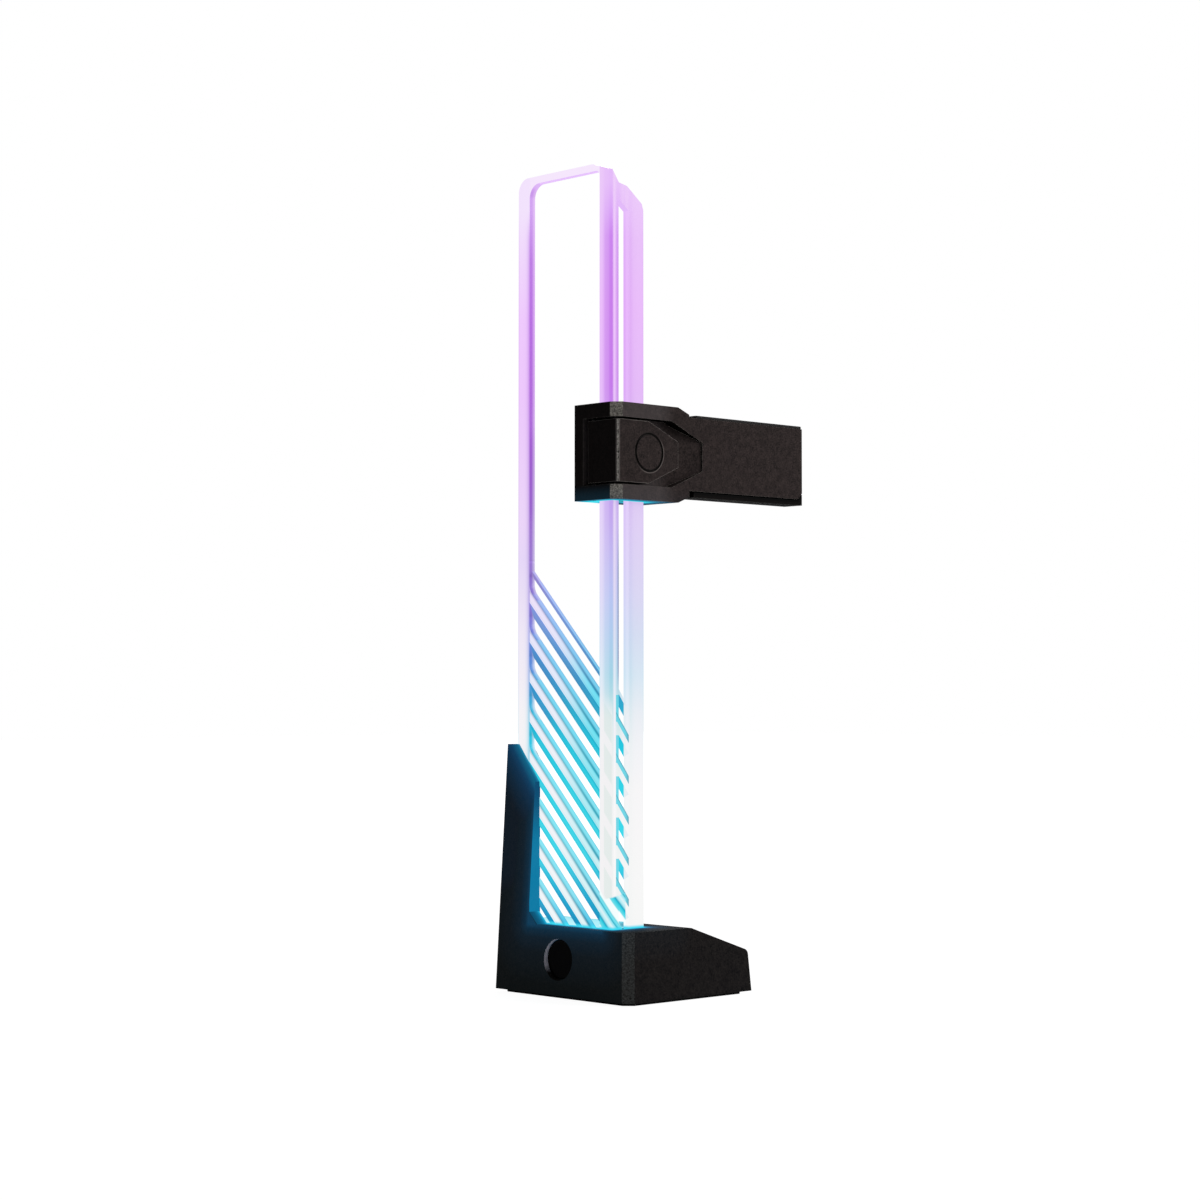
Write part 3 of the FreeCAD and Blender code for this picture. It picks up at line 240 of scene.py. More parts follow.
# %% Lamps
MIDDLE = Vector((0.01, -0.01, 0.1))
LAMP_SIZE = 0.6
LAMPS = [  # name, place, watts and colour
    ("key", (0.55, -0.75, 0.45), 11.0, (1.0, 0.96, 0.95)),
    ("rear_fill", (0.5, 0.8, 0.6), 5.0, (1.0, 1.0, 1.0)),
]


def add_lamp(name, place, watts, colour):
    """A square soft lamp that points at the bracket's middle."""
    data = bpy.data.lights.new(name, "AREA")
    data.size = LAMP_SIZE
    data.energy = watts
    data.color = colour
    made = add_object(name, data)
    made.location = place
    aim = MIDDLE - Vector(place)
    made.rotation_euler = aim.to_track_quat("-Z", "Y").to_euler()


for settings in LAMPS:
    add_lamp(*settings)
print("lamps placed:", len(LAMPS))

# %% [markdown]
# ## Camera
#
# The camera stands low, a little above the base, and looks very slightly up.
# Its place and lens come from lining up the bracket's straight edges with the
# photograph.

# %% Camera
CAMERA_PLACE = (-0.437187, -0.452877, 0.07301)
LENS, SENSOR_WIDTH = 77.13, 36.0
NEAREST = 0.01
HEADING = math.radians(43.478)
PITCH = math.radians(2.067)
LEVEL = math.radians(90)

camera_data = bpy.data.cameras.new("camera")
camera_data.lens = LENS
camera_data.sensor_width = SENSOR_WIDTH
camera_data.clip_start = NEAREST
camera = add_object("camera", camera_data)
camera.location = CAMERA_PLACE
camera.rotation_euler = (LEVEL + PITCH, 0.0, -HEADING)
scene.camera = camera
print("camera at", tuple(round(v, 3) for v in camera.location))

# %% [markdown]
# ## Floor
#
# The floor is pale and seamless with the background. It is mostly lit white to
# the camera, a little brighter far away, and partly plain pale paint, so that
# the bracket's own soft shadow still shows on it.

# %% Floor
FLOOR_HALF = 3.0
FLOOR_PAINT = (0.9, 0.9, 0.9, 1.0)
GLOW_STRENGTH = (1.12, 1.3)
GLOW_REACH = (0.3, 1.0)
GLOW_SHARE = 0.86


def build_floor():
    bm = bmesh.new()
    bmesh.ops.create_grid(bm, x_segments=1, y_segments=1, size=FLOOR_HALF)
    made = object_from(bm, "floor")
    material = bpy.data.materials.new("pale_floor")
    material.use_nodes = True
    tree = material.node_tree
    tree.nodes.clear()
    paint = add_node(tree, "ShaderNodeBsdfDiffuse", {"Color": FLOOR_PAINT})
    place = add_node(tree, "ShaderNodeTexCoord").outputs["Object"]
    reach = add_node(tree, "ShaderNodeVectorMath", {0: place}, operation="LENGTH")
    strength = spread(reach.outputs["Value"], *GLOW_STRENGTH, *GLOW_REACH)
    glow = add_node(tree, "ShaderNodeEmission", {"Color": WHITE, "Strength": strength})
    ray = add_node(tree, "ShaderNodeLightPath").outputs
    mix = add_node(tree, "ShaderNodeMixShader",
                   {"Fac": times(ray["Is Camera Ray"], GLOW_SHARE),
                    1: paint.outputs[0], 2: glow.outputs[0]})
    add_node(tree, "ShaderNodeOutputMaterial", {"Surface": mix.outputs[0]})
    made.data.materials.append(material)


build_floor()
print("floor half width", FLOOR_HALF)

# %% [markdown]
# ## Rounding the moulded pieces
#
# The CAD pieces have knife edges, and a real moulding has a small radius on
# each edge, which catches a thin line of light. A copy of the CAD mesh is
# welded, its flat faces are joined up again, and its sharp edges are bevelled
# with a bmesh operator. The operator gives back the faces that it made, so
# these are marked for a painted edge highlight, for the finishes to read. The
# copy then stands for the CAD node.

# %% Bevelled copies
WELD = 0.01 * MM
FLAT = math.radians(1.0)
SHARP = math.radians(24)
BEVEL_SEGMENTS = 2
LARGEST_FACE = 4
BEVEL_WIDTHS = {"base_shell": 0.30, "foot_pad": 0.20, "round_cap": 0.10,
                "carriage_shell": 0.18, "clamp_block": 0.20, "arm_cover": 0.20,
                "arm_rest": 0.15, "clamp_lever": 0.25, "light_guide": 0.16}


def softened(name, width):
    """A bevelled copy of a CAD node, which stands for it on the same body."""
    source = nodes[name]
    bm = bmesh.new()
    bm.from_mesh(source.data)
    bmesh.ops.remove_doubles(bm, verts=bm.verts, dist=WELD)
    bmesh.ops.dissolve_limit(bm, angle_limit=FLAT, verts=bm.verts, edges=bm.edges)
    sharp = [edge for edge in bm.edges
             if len(edge.link_faces) == 2 and edge.calc_face_angle(0.0) > SHARP]
    # The bevel's own faces are marked for a painted highlight along the edges.
    edge_highlight = bm.faces.layers.float.new("painted_edge_highlight")
    made_faces = bmesh.ops.bevel(bm, geom=sharp, offset=width, affect="EDGES",
                                 segments=BEVEL_SEGMENTS, profile=0.5, material=-1,
                                 clamp_overlap=True)["faces"]
    for face in made_faces:
        face[edge_highlight] = 1.0
    bmesh.ops.triangulate(bm, faces=[face for face in bm.faces
                                     if len(face.verts) > LARGEST_FACE])
    made = object_from(bm, name + "_soft")
    for polygon in made.data.polygons:
        polygon.use_smooth = True
    made.modifiers.new("flat_faces", "WEIGHTED_NORMAL").weight = 100
    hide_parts(name)
    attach(made, source["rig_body"])
    print(made.name, "faces", len(made.data.polygons), "bevelled edges", len(sharp))
    return made


base, foot, cap, carriage, block, cover, rest, lever, tower = (
    softened(name, width * MM) for name, width in BEVEL_WIDTHS.items())

# %% [markdown]
# ## Tools for the finishes
#
# Every finish is worked out from the piece's own place in space, so it stays on
# the piece when the camera or the piece moves. These tools name the patterns
# that come back: where a point is and which way its face looks, a colour that
# changes along a length, and a mix of two colours. A face looks a certain way by
# degrees, so two limits say where its share starts and where it is whole.

# %% Finish tools
MOSTLY, SQUARELY = (0.5, 0.9), (0.6, 0.9)


def tone(hex_colour):
    """A colour written as in a picture editor, made linear."""
    values = [int(hex_colour[i:i + 2], 16) / 255 for i in (0, 2, 4)]
    linear = [v / 12.92 if v <= 0.04045 else ((v + 0.055) / 1.055) ** 2.4 for v in values]
    return (*linear, 1.0)


def grey(value):
    return (value, value, value, 1.0)


def new_material(name):
    material = bpy.data.materials.new(name)
    material.use_nodes = True
    tree = material.node_tree
    return material, tree, tree.nodes["Principled BSDF"]


def dress(piece, material):
    piece.data.materials.clear()
    piece.data.materials.append(material)


def point_and_facing(tree):
    """Where a point of the piece is, and which way its face looks."""
    coordinates = add_node(tree, "ShaderNodeTexCoord").outputs
    return coordinates["Object"], coordinates["Normal"]


def split(vector):
    """The three numbers of a vector."""
    parts = add_node(vector.id_data, "ShaderNodeSeparateXYZ", {0: vector}).outputs
    return parts["X"], parts["Y"], parts["Z"]


def noise(place, scale, detail, roughness):
    made = add_node(place.id_data, "ShaderNodeTexNoise",
                    {"Vector": place, "Scale": scale, "Detail": detail,
                     "Roughness": roughness})
    return made.outputs["Fac"]


def ramp(source, stops):
    """A colour ramp through (place, colour) stops."""
    made = add_node(source.id_data, "ShaderNodeValToRGB", {"Fac": source})
    elements = made.color_ramp.elements
    while len(elements) < len(stops):
        elements.new(0.5)
    for element, (place, colour) in zip(elements, stops):
        element.position = place
        element.color = colour
    return made.outputs["Color"]


def length_ramp(source, reach, stops):
    """A ramp over a length. Its stops hold millimetres, and a colour or a grey share."""
    return ramp(calc("DIVIDE", source, reach, clamp=True),
                [(stop * MM / reach, tone(value) if isinstance(value, str) else grey(value))
                 for stop, value in stops])


def blend(share, first, second, **settings):
    """The first colour at a share of 0 and the second at 1."""
    tree = next(v.id_data for v in (share, first) if isinstance(v, bpy.types.NodeSocket))
    made = add_node(tree, "ShaderNodeMix", {"Factor": share, 6: first, 7: second},
                    data_type="RGBA", **settings)
    return made.outputs[2]


def lighter(first, second):
    """The lighter of two colours, channel by channel."""
    made = add_node(first.id_data, "ShaderNodeVectorMath", {0: first, 1: second},
                    operation="MAXIMUM")
    return made.outputs[0]


def scaled(colour, amount):
    made = add_node(colour.id_data, "ShaderNodeVectorMath", {0: colour, "Scale": amount},
                    operation="SCALE")
    return made.outputs[0]


def add_bump(shader, height, strength, depth):
    bump = add_node(shader.id_data, "ShaderNodeBump",
                    {"Strength": strength, "Distance": depth, "Height": height})
    link(bump.outputs[0], shader.inputs["Normal"])


tower_low, tower_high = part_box("light_guide")
PANEL = 1.8 * MM
BASE_TOP = 17.1 * MM
print("tower from", tuple(round(v, 4) for v in tower_low))

# %% [markdown]
# ## Light that falls from the tower on the black plastic
#
# Where the lit tower leaves the base and passes under the collar, the plastic
# beside it is cyan, and a little further away deep blue. The amount depends
# only on how far a point is from the tower's two panels, so it is worked out as
# the distance to two boxes, and a colour ramp turns that distance into light.

# %% Distance from the tower
SPILL_REACH = 14 * MM


def box_distance(place, low, high):
    """How far a point is from a box, 0 inside it."""
    middle = [(a + b) / 2 for a, b in zip(low, high)]
    half = [(b - a) / 2 for a, b in zip(low, high)]
    result = place
    for operation, amount in (("SUBTRACT", {1: middle}), ("ABSOLUTE", {}),
                              ("SUBTRACT", {1: half}), ("MAXIMUM", {1: (0, 0, 0)})):
        result = add_node(place.id_data, "ShaderNodeVectorMath", {0: result, **amount},
                          operation=operation).outputs[0]
    length = add_node(place.id_data, "ShaderNodeVectorMath", {0: result}, operation="LENGTH")
    return length.outputs["Value"]


def tower_distance(place, floor_height):
    """How far a point is from the lit tower's two panels above a height."""
    low = (tower_low.x, tower_low.y, floor_height)
    side = box_distance(place, low, (tower_low.x + PANEL, tower_high.y, tower_high.z))
    front = box_distance(place, low, (tower_high.x, tower_low.y + PANEL, tower_high.z))
    return smaller(side, front)


def spill(distance, stops):
    return length_ramp(distance, SPILL_REACH, stops)


print("light falls up to", SPILL_REACH, "m away")

# %% [markdown]
# On top of the base, between the tower's two panels, light comes down through
# the slots: it is nearly white close to the side panel, reaches further beside
# the slots, and falls off faster once the base's top slopes. The rear post's
# left face gets light along its slanted front edge, and a faint glow.

# %% Light on the base's top and left face
BASE_SPILL = [(0.0, "4fe6ff"), (0.4, "22b4dc"), (1.0, "0d7ba4"), (2.0, "0a4c6c"),
              (3.0, "09324a"), (4.5, "0a2434"), (6.5, "08151d"), (9.0, "04090d"),
              (12.0, "000000")]
INNER_SPILL = [(0.0, "c4f4fb"), (5.0, "9fe8f4"), (7.0, "6cccde"), (9.0, "2f8ca6"),
               (11.0, "114e66"), (14.0, "000000")]
LEFT_SPILL = [(0.0, "0b3a56"), (1.0, "09293d"), (3.0, "0b1c28"), (6.5, "0a1319"),
              (14.0, "080c0d")]
DIAGONAL_SPILL = [(0.0, "0a6080"), (0.8, "045274"), (1.8, "033c5e"), (3.5, "052e4a"),
                  (6.0, "0a2438"), (9.0, "061824"), (14.0, "000000")]
POCKET_TOP = 9.5 * MM
SLOPE_START = 1.2 * MM
SLOPE_LOSS = 1.5
SLOTS_NEARER = 0.65
SLOTS_RISE, SLOTS_FALL = (-11, 4), (20, 28)
POST_GLOW = tone("04151f")
POST_GLOW_TOP = 30 * MM
POST_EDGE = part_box("base_shell")[1].y - 10.7 * MM
DIAGONAL_FOOT = (12.55 * MM, 51.4 * MM)
DIAGONAL_RISE = 9.0 / 7.3
POST_START = DIAGONAL_FOOT[0] - 0.5 * MM
FAR = 1.0


def on_inner_top(place, facing):
    """1 on the base's top behind both panels, but not down in the tower's pocket."""
    x, y, z = split(place)
    return times(above(x, tower_low.x + PANEL), above(y, tower_low.y + PANEL),
                 ease(split(facing)[2], *SQUARELY), above(z, POCKET_TOP))


def inner_top_light(place):
    """Light that comes through the slots down to the base's top."""
    x, y, _ = split(place)
    beside_slots = plateau(y, SLOTS_RISE, SLOTS_FALL)
    away = times(minus(x, tower_low.x), opposite(times(beside_slots, SLOTS_NEARER)))
    down_slope = larger(minus(x, SLOPE_START), 0.0)
    return spill(plus(away, times(down_slope, SLOPE_LOSS)), INNER_SPILL)


def under_diagonal(y, z):
    """How far a point of the post's left face is below its slanted front edge."""
    rise = times(minus(y, DIAGONAL_FOOT[0]), DIAGONAL_RISE)
    drop = minus(plus(rise, DIAGONAL_FOOT[1]), z)
    return times(drop, math.cos(math.atan(DIAGONAL_RISE)))


def left_face_light(place):
    """Light beside the panel, under the post's slanted edge, and a glow on the post."""
    _, y, z = split(place)
    beside_panel = box_distance(place, (-FAR, tower_low.y, BASE_TOP),
                                (FAR, POST_EDGE, tower_high.z))
    diagonal = blend(above(y, POST_START), BLACK, spill(under_diagonal(y, z), DIAGONAL_SPILL))
    post_glow = blend(ease(z, BASE_TOP, POST_GLOW_TOP), BLACK, POST_GLOW)
    return lighter(lighter(spill(beside_panel, LEFT_SPILL), diagonal), post_glow)


print("post's front edge at", round(POST_EDGE, 4))

# %% [markdown]
# The base gets all of these, and a bright strip on the post's narrow front face.
# Faces that look away, to the right or the rear, keep only a quarter. The
# carriage is lit from below: its underside is cyan round the tower, and a faint
# glow climbs the lowest few millimetres of its sides, most on the left.

# %% Light on the base and the carriage
STRIP_REACH = 3.4 * MM
STRIP_GLOW = tone("0b7aa4")
STRIP_HIGH = tone("084a70")
STRIP_FADE = (34, 50)
FACING_LEFT, SIDE_LEFT = (0.75, 0.95), (0.5, 0.95)
FACING_DOWN = (0.3, 0.8)
AWAY_LOSS = 0.75
COLLAR_SPILL = [(0.0, "35e4f2"), (1.2, "22c8dc"), (2.4, "148cae"), (4.0, "0d5c7a"),
                (6.5, "0a3a50"), (9.0, "062030"), (13.0, "000000")]
RIM_GLOW = tone("071c26")
RIM_FADE = (0.3, 4.0)
RIM_SHARES = (0.15, 1.0)
UNDERSIDE_DEPTH = 0.6 * MM


def light_on_base(place, facing):
    """All of the tower's light on the base, from its top to its left face."""
    x, _, z = split(place)
    facing_x, facing_y, _ = split(facing)
    away = tower_distance(place, BASE_TOP)
    strip = times(ease(negative(facing_y), *SQUARELY), below(away, STRIP_REACH))
    light = blend(strip, spill(away, BASE_SPILL),
                  blend(ease_mm(z, *STRIP_FADE), STRIP_GLOW, STRIP_HIGH))
    looks_away = ease(larger(facing_x, facing_y), *MOSTLY)
    light = blend(times(looks_away, AWAY_LOSS), light, BLACK)
    light = blend(on_inner_top(place, facing), light, inner_top_light(place))
    to_left = times(ease(negative(facing_x), *FACING_LEFT), below(x, tower_low.x))
    return blend(to_left, light, left_face_light(place))


def light_on_carriage(piece, place, facing):
    """The tower's light under the carriage, and a little way up its sides."""
    lowest = min(corner.co.z for corner in piece.data.vertices)
    facing_x, _, facing_z = split(facing)
    z = split(place)[2]
    underside = times(ease(negative(facing_z), *FACING_DOWN),
                      below(z, lowest + UNDERSIDE_DEPTH))
    light = blend(underside, BLACK, spill(tower_distance(place, 0.0), COLLAR_SPILL))
    to_left = ease(negative(facing_x), *SIDE_LEFT)
    low_rim = times(opposite(ease_mm(minus(z, lowest), *RIM_FADE)),
                    spread(to_left, *RIM_SHARES))
    return lighter(light, blend(low_rim, BLACK, RIM_GLOW))


print("spilled light defined for", base.name, carriage.name, block.name)

# %% [markdown]
# ## Black moulded plastic
#
# The bracket's black plastic has a fine spark-eroded grain. Up close it is a
# mass of tiny rounded bumps, which break up the shine, with slightly paler
# specks and patches. A fine noise makes the bumps and the specks, a middling
# one the mottle, and a much larger, weak one changes the shine from place to
# place, as handling does. The bevelled edges carry a painted highlight, paler
# in spots. The upright corner bevels that look forward and to the left carry a
# brighter painted highlight: a mask on the face's own direction picks them out.
# Faces that look to the left or down into a hollow get little light in the
# photograph, so they are painted darker, as painted shade.

# %% Grained plastic
# Each noise has a scale, a detail and a roughness.
FINE, MOTTLE, WIDE = (2600.0, 3.0, 0.65), (850.0, 4.0, 0.7), (90.0, 3.0, 0.55)
FINE_SHARE, MOTTLE_SHARE = 0.6, 0.4
GRAIN_BUMP = (0.6, 0.06 * MM)
INTO_HOLLOW = (0.12, 0.4)
EDGE_HIGHLIGHT_SPOTS = (0.3, 1.0)
GRAIN_DARK, GRAIN_PALE = tone("100e0e"), tone("332c2b")
CORNER_DARK = tone("1a1a18")
CORNER_HALF = 0.34 * MM
CORNER_FACING = (0.9, 0.98)
DIAGONAL = 0.7071


def grained_plastic(name, edge, dark=GRAIN_DARK, pale=GRAIN_PALE, shine=(0.58, 0.68),
                    gloss=0.015, left=0.3, hollow=0.12, edge_highlight="8c8884", corner=None,
                    light=None):
    """Black plastic with a fine moulded grain, and painted highlights on its
    bevelled edges and on its front left corner bevel.

    Faces that look left or down keep only the shares left and hollow of their
    colour, as painted shade. Edge is the colour of the painted highlight on the
    corner bevel, and light is the function that gives the tower's light on the piece."""
    material, tree, shader = new_material(name)
    place, facing = point_and_facing(tree)
    facing_x, facing_y, facing_z = split(facing)
    fine, mottle, wide = (noise(place, *kind) for kind in (FINE, MOTTLE, WIDE))
    grain = plus(times(fine, FINE_SHARE), times(mottle, MOTTLE_SHARE))
    colour = ramp(grain, [(0.36, dark), (0.66, pale)])
    to_left = ease(negative(facing_x), *FACING_LEFT)
    colour = blend(times(to_left, 1.0 - left), colour, BLACK)
    down = ease(negative(facing_z), *INTO_HOLLOW)
    colour = blend(times(down, 1.0 - hollow), colour, BLACK)
    # Painted highlight on the bevelled edges, broken up into spots by the mottle.
    painted_edge_highlight = add_node(tree, "ShaderNodeAttribute", attribute_name="painted_edge_highlight")
    edge_highlight_share = times(painted_edge_highlight.outputs["Fac"], spread(mottle, *EDGE_HIGHLIGHT_SPOTS))
    colour = blend(edge_highlight_share, colour, tone(edge_highlight))
    # Painted highlight on the upright corner bevels that look forward and to the left; on the
    # lever only a narrow band along its corner gets it.
    bevel = ease(times(plus(facing_x, facing_y), -DIAGONAL), *CORNER_FACING)
    if corner:
        x, y, _ = split(place)
        across = calc("ABSOLUTE", minus(minus(x, y), corner.x - corner.y))
        bevel = times(bevel, below(across, CORNER_HALF))
    colour = blend(bevel, colour, ramp(fine, [(0.3, CORNER_DARK), (0.7, tone(edge))]))
    fill(shader, {"Base Color": colour, "Roughness": spread(wide, *shine),
                  "Specular IOR Level": gloss})
    add_bump(shader, fine, *GRAIN_BUMP)
    if light:
        fill(shader, {"Emission Color": light(place, facing), "Emission Strength": 1.0})
    return material


# The first colour of each finish is its painted corner-bevel highlight.
base_finish = grained_plastic("grained_black_base", "4a4c4c", tone("0b0b0d"), tone("22201f"),
                              (0.75, 0.85), 0.01, left=1.0, hollow=1.0, edge_highlight="34383a",
                              light=light_on_base)
carriage_finish, block_finish = (
    grained_plastic("grained_black_" + piece.name, "9c9890",
                    light=functools.partial(light_on_carriage, piece))
    for piece in (carriage, block))
cover_finish = grained_plastic("grained_black_cover", "7c7c76")
lever_finish = grained_plastic("grained_black_lever", "b0aca6",
                               corner=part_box("clamp_lever")[0])
for piece, finish in ((base, base_finish), (carriage, carriage_finish),
                      (block, block_finish), (cover, cover_finish), (lever, lever_finish)):
    dress(piece, finish)
    print(piece.name, "is", finish.name)

# %% [markdown]
# ## Small lights and shades on the plastic
#
# A few narrow marks make the black pieces read as they do in the photograph. A
# dark band lies under the seam along the arm's lower edge. The wall round the
# cap catches the lamp in a pale crescent at its upper rear. The collar's front
# is a touch paler than its neighbours. On the lever, the ring groove is in its
# own shade, and its lower right rim shines a little. Each is a share of one
# more colour, laid over the finish.

# %% Shares of the marks
cap_low, cap_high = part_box("round_cap")
cover_low, cover_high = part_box("arm_cover")
LIP, LIP_CORNER = 1.3 * MM, 1.5 * MM
LIP_ABOVE = -0.3 * MM
LIP_FADE, LIP_SHARES = (0.45, 0.75), (0.9, 1.0)
RECESS_DEPTH = 1.5 * MM
RECESS_WALL = (-0.1 * MM, 0.55 * MM)
RECESS_FACING = -0.85
CRESCENT = (0.1, 0.8)
COLLAR_FACING, COLLAR_FADE, COLLAR_SHARE = (0.9, 0.99), (-6, 1), 0.1
RING_MIDDLE = (-8.75 * MM, 130.2 * MM)
RING_RADIUS = 4.7 * MM
RING_START = RING_RADIUS - 0.62 * MM
RING_EDGE = RING_RADIUS + 0.08 * MM
RING_END = RING_RADIUS + 0.3 * MM
RING_SHADE = 0.85


def repaint(material, share_maker, colour):
    """Lays a colour over a finish, by the share that a function gives each point."""
    socket = material.node_tree.nodes["Principled BSDF"].inputs["Base Color"]
    under = socket.links[0].from_socket
    share = share_maker(*point_and_facing(material.node_tree))
    link(blend(share, under, tone(colour)), socket)


def from_middle(across, up):
    """A distance, from its two parts."""
    return calc("SQRT", plus(times(across, across), times(up, up)))


def lip_shadow(place, _):
    """Just under the arm's seam, which turns up at the arm's end."""
    x, _, z = split(place)
    rise = larger(minus(x, cover_high.x - LIP_CORNER), 0.0)
    depth = minus(plus(rise, cover_low.z + LIP), z)
    near = spread(opposite(ease_mm(depth, *LIP_FADE)), *LIP_SHARES)
    return times(near, above(depth, LIP_ABOVE))


def recess_rim(place, facing):
    """The upper rear part of the wall round the cap."""
    x, y, z = split(place)
    across = minus(y, (cap_low.y + cap_high.y) / 2)
    up = minus(z, (cap_low.z + cap_high.z) / 2)
    radius = (cap_high.y - cap_low.y) / 2
    wall = times(within(from_middle(across, up), *(radius + step for step in RECESS_WALL)),
                 above(split(facing)[0], RECESS_FACING), below(x, cap_high.x + RECESS_DEPTH))
    return times(wall, ease(plus(across, times(up, 0.9)),
                            *(radius * share for share in CRESCENT)))


def collar_front(place, facing):
    """The left part of the collar's front."""
    forward = ease(negative(split(facing)[1]), *COLLAR_FACING)
    return times(forward, opposite(ease_mm(split(place)[0], *COLLAR_FADE)), COLLAR_SHARE)


def round_ring(place):
    """How far a point of the lever is from its ring's middle: across, up and in all."""
    x, _, z = split(place)
    across, up = minus(x, RING_MIDDLE[0]), minus(z, RING_MIDDLE[1])
    return across, up, from_middle(across, up)


def ring_shadow(place, _):
    away = round_ring(place)[2]
    return times(within(away, RING_START, RING_EDGE), RING_SHADE)


def ring_light(place, _):
    across, up, away = round_ring(place)
    return times(within(away, RING_EDGE, RING_END), ease_mm(minus(across, up), -1.0, 4.0))


MARKS = [(carriage_finish, collar_front, "807b7d"), (lever_finish, ring_shadow, "020202"),
         (lever_finish, ring_light, "4c4745"), (cover_finish, lip_shadow, "010101"),
         (base_finish, recess_rim, "dcd8e4")]
for finish, share_maker, colour in MARKS:
    repaint(finish, share_maker, colour)
print("marks laid over the plastics:", len(MARKS))

# %% [markdown]
# ## Soft rubber, the gloss cap and the parts inside
#
# The foot and the strip on top of the arm are dull rubber, darker and more even
# than the plastic. The round cap is smooth gloss black. The screws, magnets and
# board hardly show, but a reader who opens the model finds them, so each has
# its own finish: plated steel, nickel, white solder mask and so on.

# %% Rubber, cap and inner parts
RUBBER_GRAIN = (2600.0, 2.0, 0.5)
RUBBER_BUMP = (0.3, 0.03 * MM)
CLOUDS = (400.0, 3.0, 0.5)


def rubber(name, colour, roughness):
    material, tree, shader = new_material(name)
    fine = noise(point_and_facing(tree)[0], *RUBBER_GRAIN)
    paler = tuple(min(1.0, v * 1.6 + 0.002) for v in colour[:3]) + (1.0,)
    fill(shader, {"Base Color": ramp(fine, [(0.35, colour), (0.75, paler)]),
                  "Roughness": spread(fine, roughness - 0.06, roughness + 0.06),
                  "Specular IOR Level": 0.1})
    add_bump(shader, fine, *RUBBER_BUMP)
    return material


def smooth(name, hex_colour, roughness, metallic=0.0, specular=0.5):
    """A smooth moulded or metal finish with a faint change of shine."""
    material, tree, shader = new_material(name)
    cloudy = noise(point_and_facing(tree)[0], *CLOUDS)
    colour = tone(hex_colour)
    shade = tuple(v * 0.82 for v in colour[:3]) + (1.0,)
    fill(shader, {"Base Color": ramp(cloudy, [(0.3, shade), (0.7, colour)]),
                  "Roughness": spread(cloudy, roughness * 0.8, roughness * 1.25),
                  "Metallic": metallic, "Specular IOR Level": specular})
    return material


soft_black = rubber("soft_rubber", tone("0c0c0c"), 0.72)
for piece in (foot, rest, nodes["brake_pad"]):
    dress(piece, soft_black)
dress(cap, smooth("gloss_black_cap", "010102", 0.2, specular=0.02))

FINISHES = [
    (smooth("inner_black_plastic", "1c1c1e", 0.45),
     ("base_plate", "guide_keeper", "cable_socket")),
    (smooth("dark_plated_steel", "4a4a4c", 0.32, 1.0),
     ("base_screws", "keeper_screws", "carriage_screws", "cover_screws")),
    (smooth("black_oxide_steel", "101012", 0.4, 1.0), ("hinge_pin",)),
    (smooth("nickel_plate", "c0bfba", 0.18, 1.0), ("magnet_1", "magnet_2", "magnet_3")),
    (smooth("gold_plate", "d9b45a", 0.25, 1.0), ("socket_contacts",)),
    (smooth("white_solder_mask", "e4e6e8", 0.4), ("light_board",)),
    (smooth("pale_glide_plastic", "dcdcd6", 0.3), ("glide_front", "glide_side")),
]
for finish, names in FINISHES:
    for name in names:
        dress(nodes[name], finish)
print("inner finishes:", len(FINISHES))

# %% [markdown]
# ## Lit chips
#
# The chips under the tower are the source of its light, so they glow cyan.

# %% Chips
CHIP_CLOUDS = (500.0, 2.0, 0.5)


def glowing(name, colour, strength):
    material, tree, shader = new_material(name)
    cloudy = noise(point_and_facing(tree)[0], *CHIP_CLOUDS)
    bright = tuple(min(1.0, v * 1.15) for v in colour[:3]) + (1.0,)
    fill(shader, {"Emission Color": ramp(cloudy, [(0.3, colour), (0.7, bright)]),
                  "Base Color": colour, "Emission Strength": strength})
    return material


chip_glow = glowing("lit_chip", tone("59e4ff"), 2.0)
chips = [name for name in nodes if name.startswith("light_chip_")]
for name in chips:
    dress(nodes[name], chip_glow)
print("lit chips:", len(chips))

# %% [markdown]
# ## The lit acrylic tower: colours by height
#
# Light enters the tower at its foot and leaves it at its edges and slots. The
# colour runs from white and cyan at the bottom through pale blue to violet at
# the top. Each kind of face has its own run of colours up the tower: the wide
# outer faces are pale, the corner has a stronger band inside it, and the cut
# faces, which show the light that travels inside, are stronger still. The
# finish is built up over the next cells, layer on layer, so its tree and the
# place of a point stay at hand.

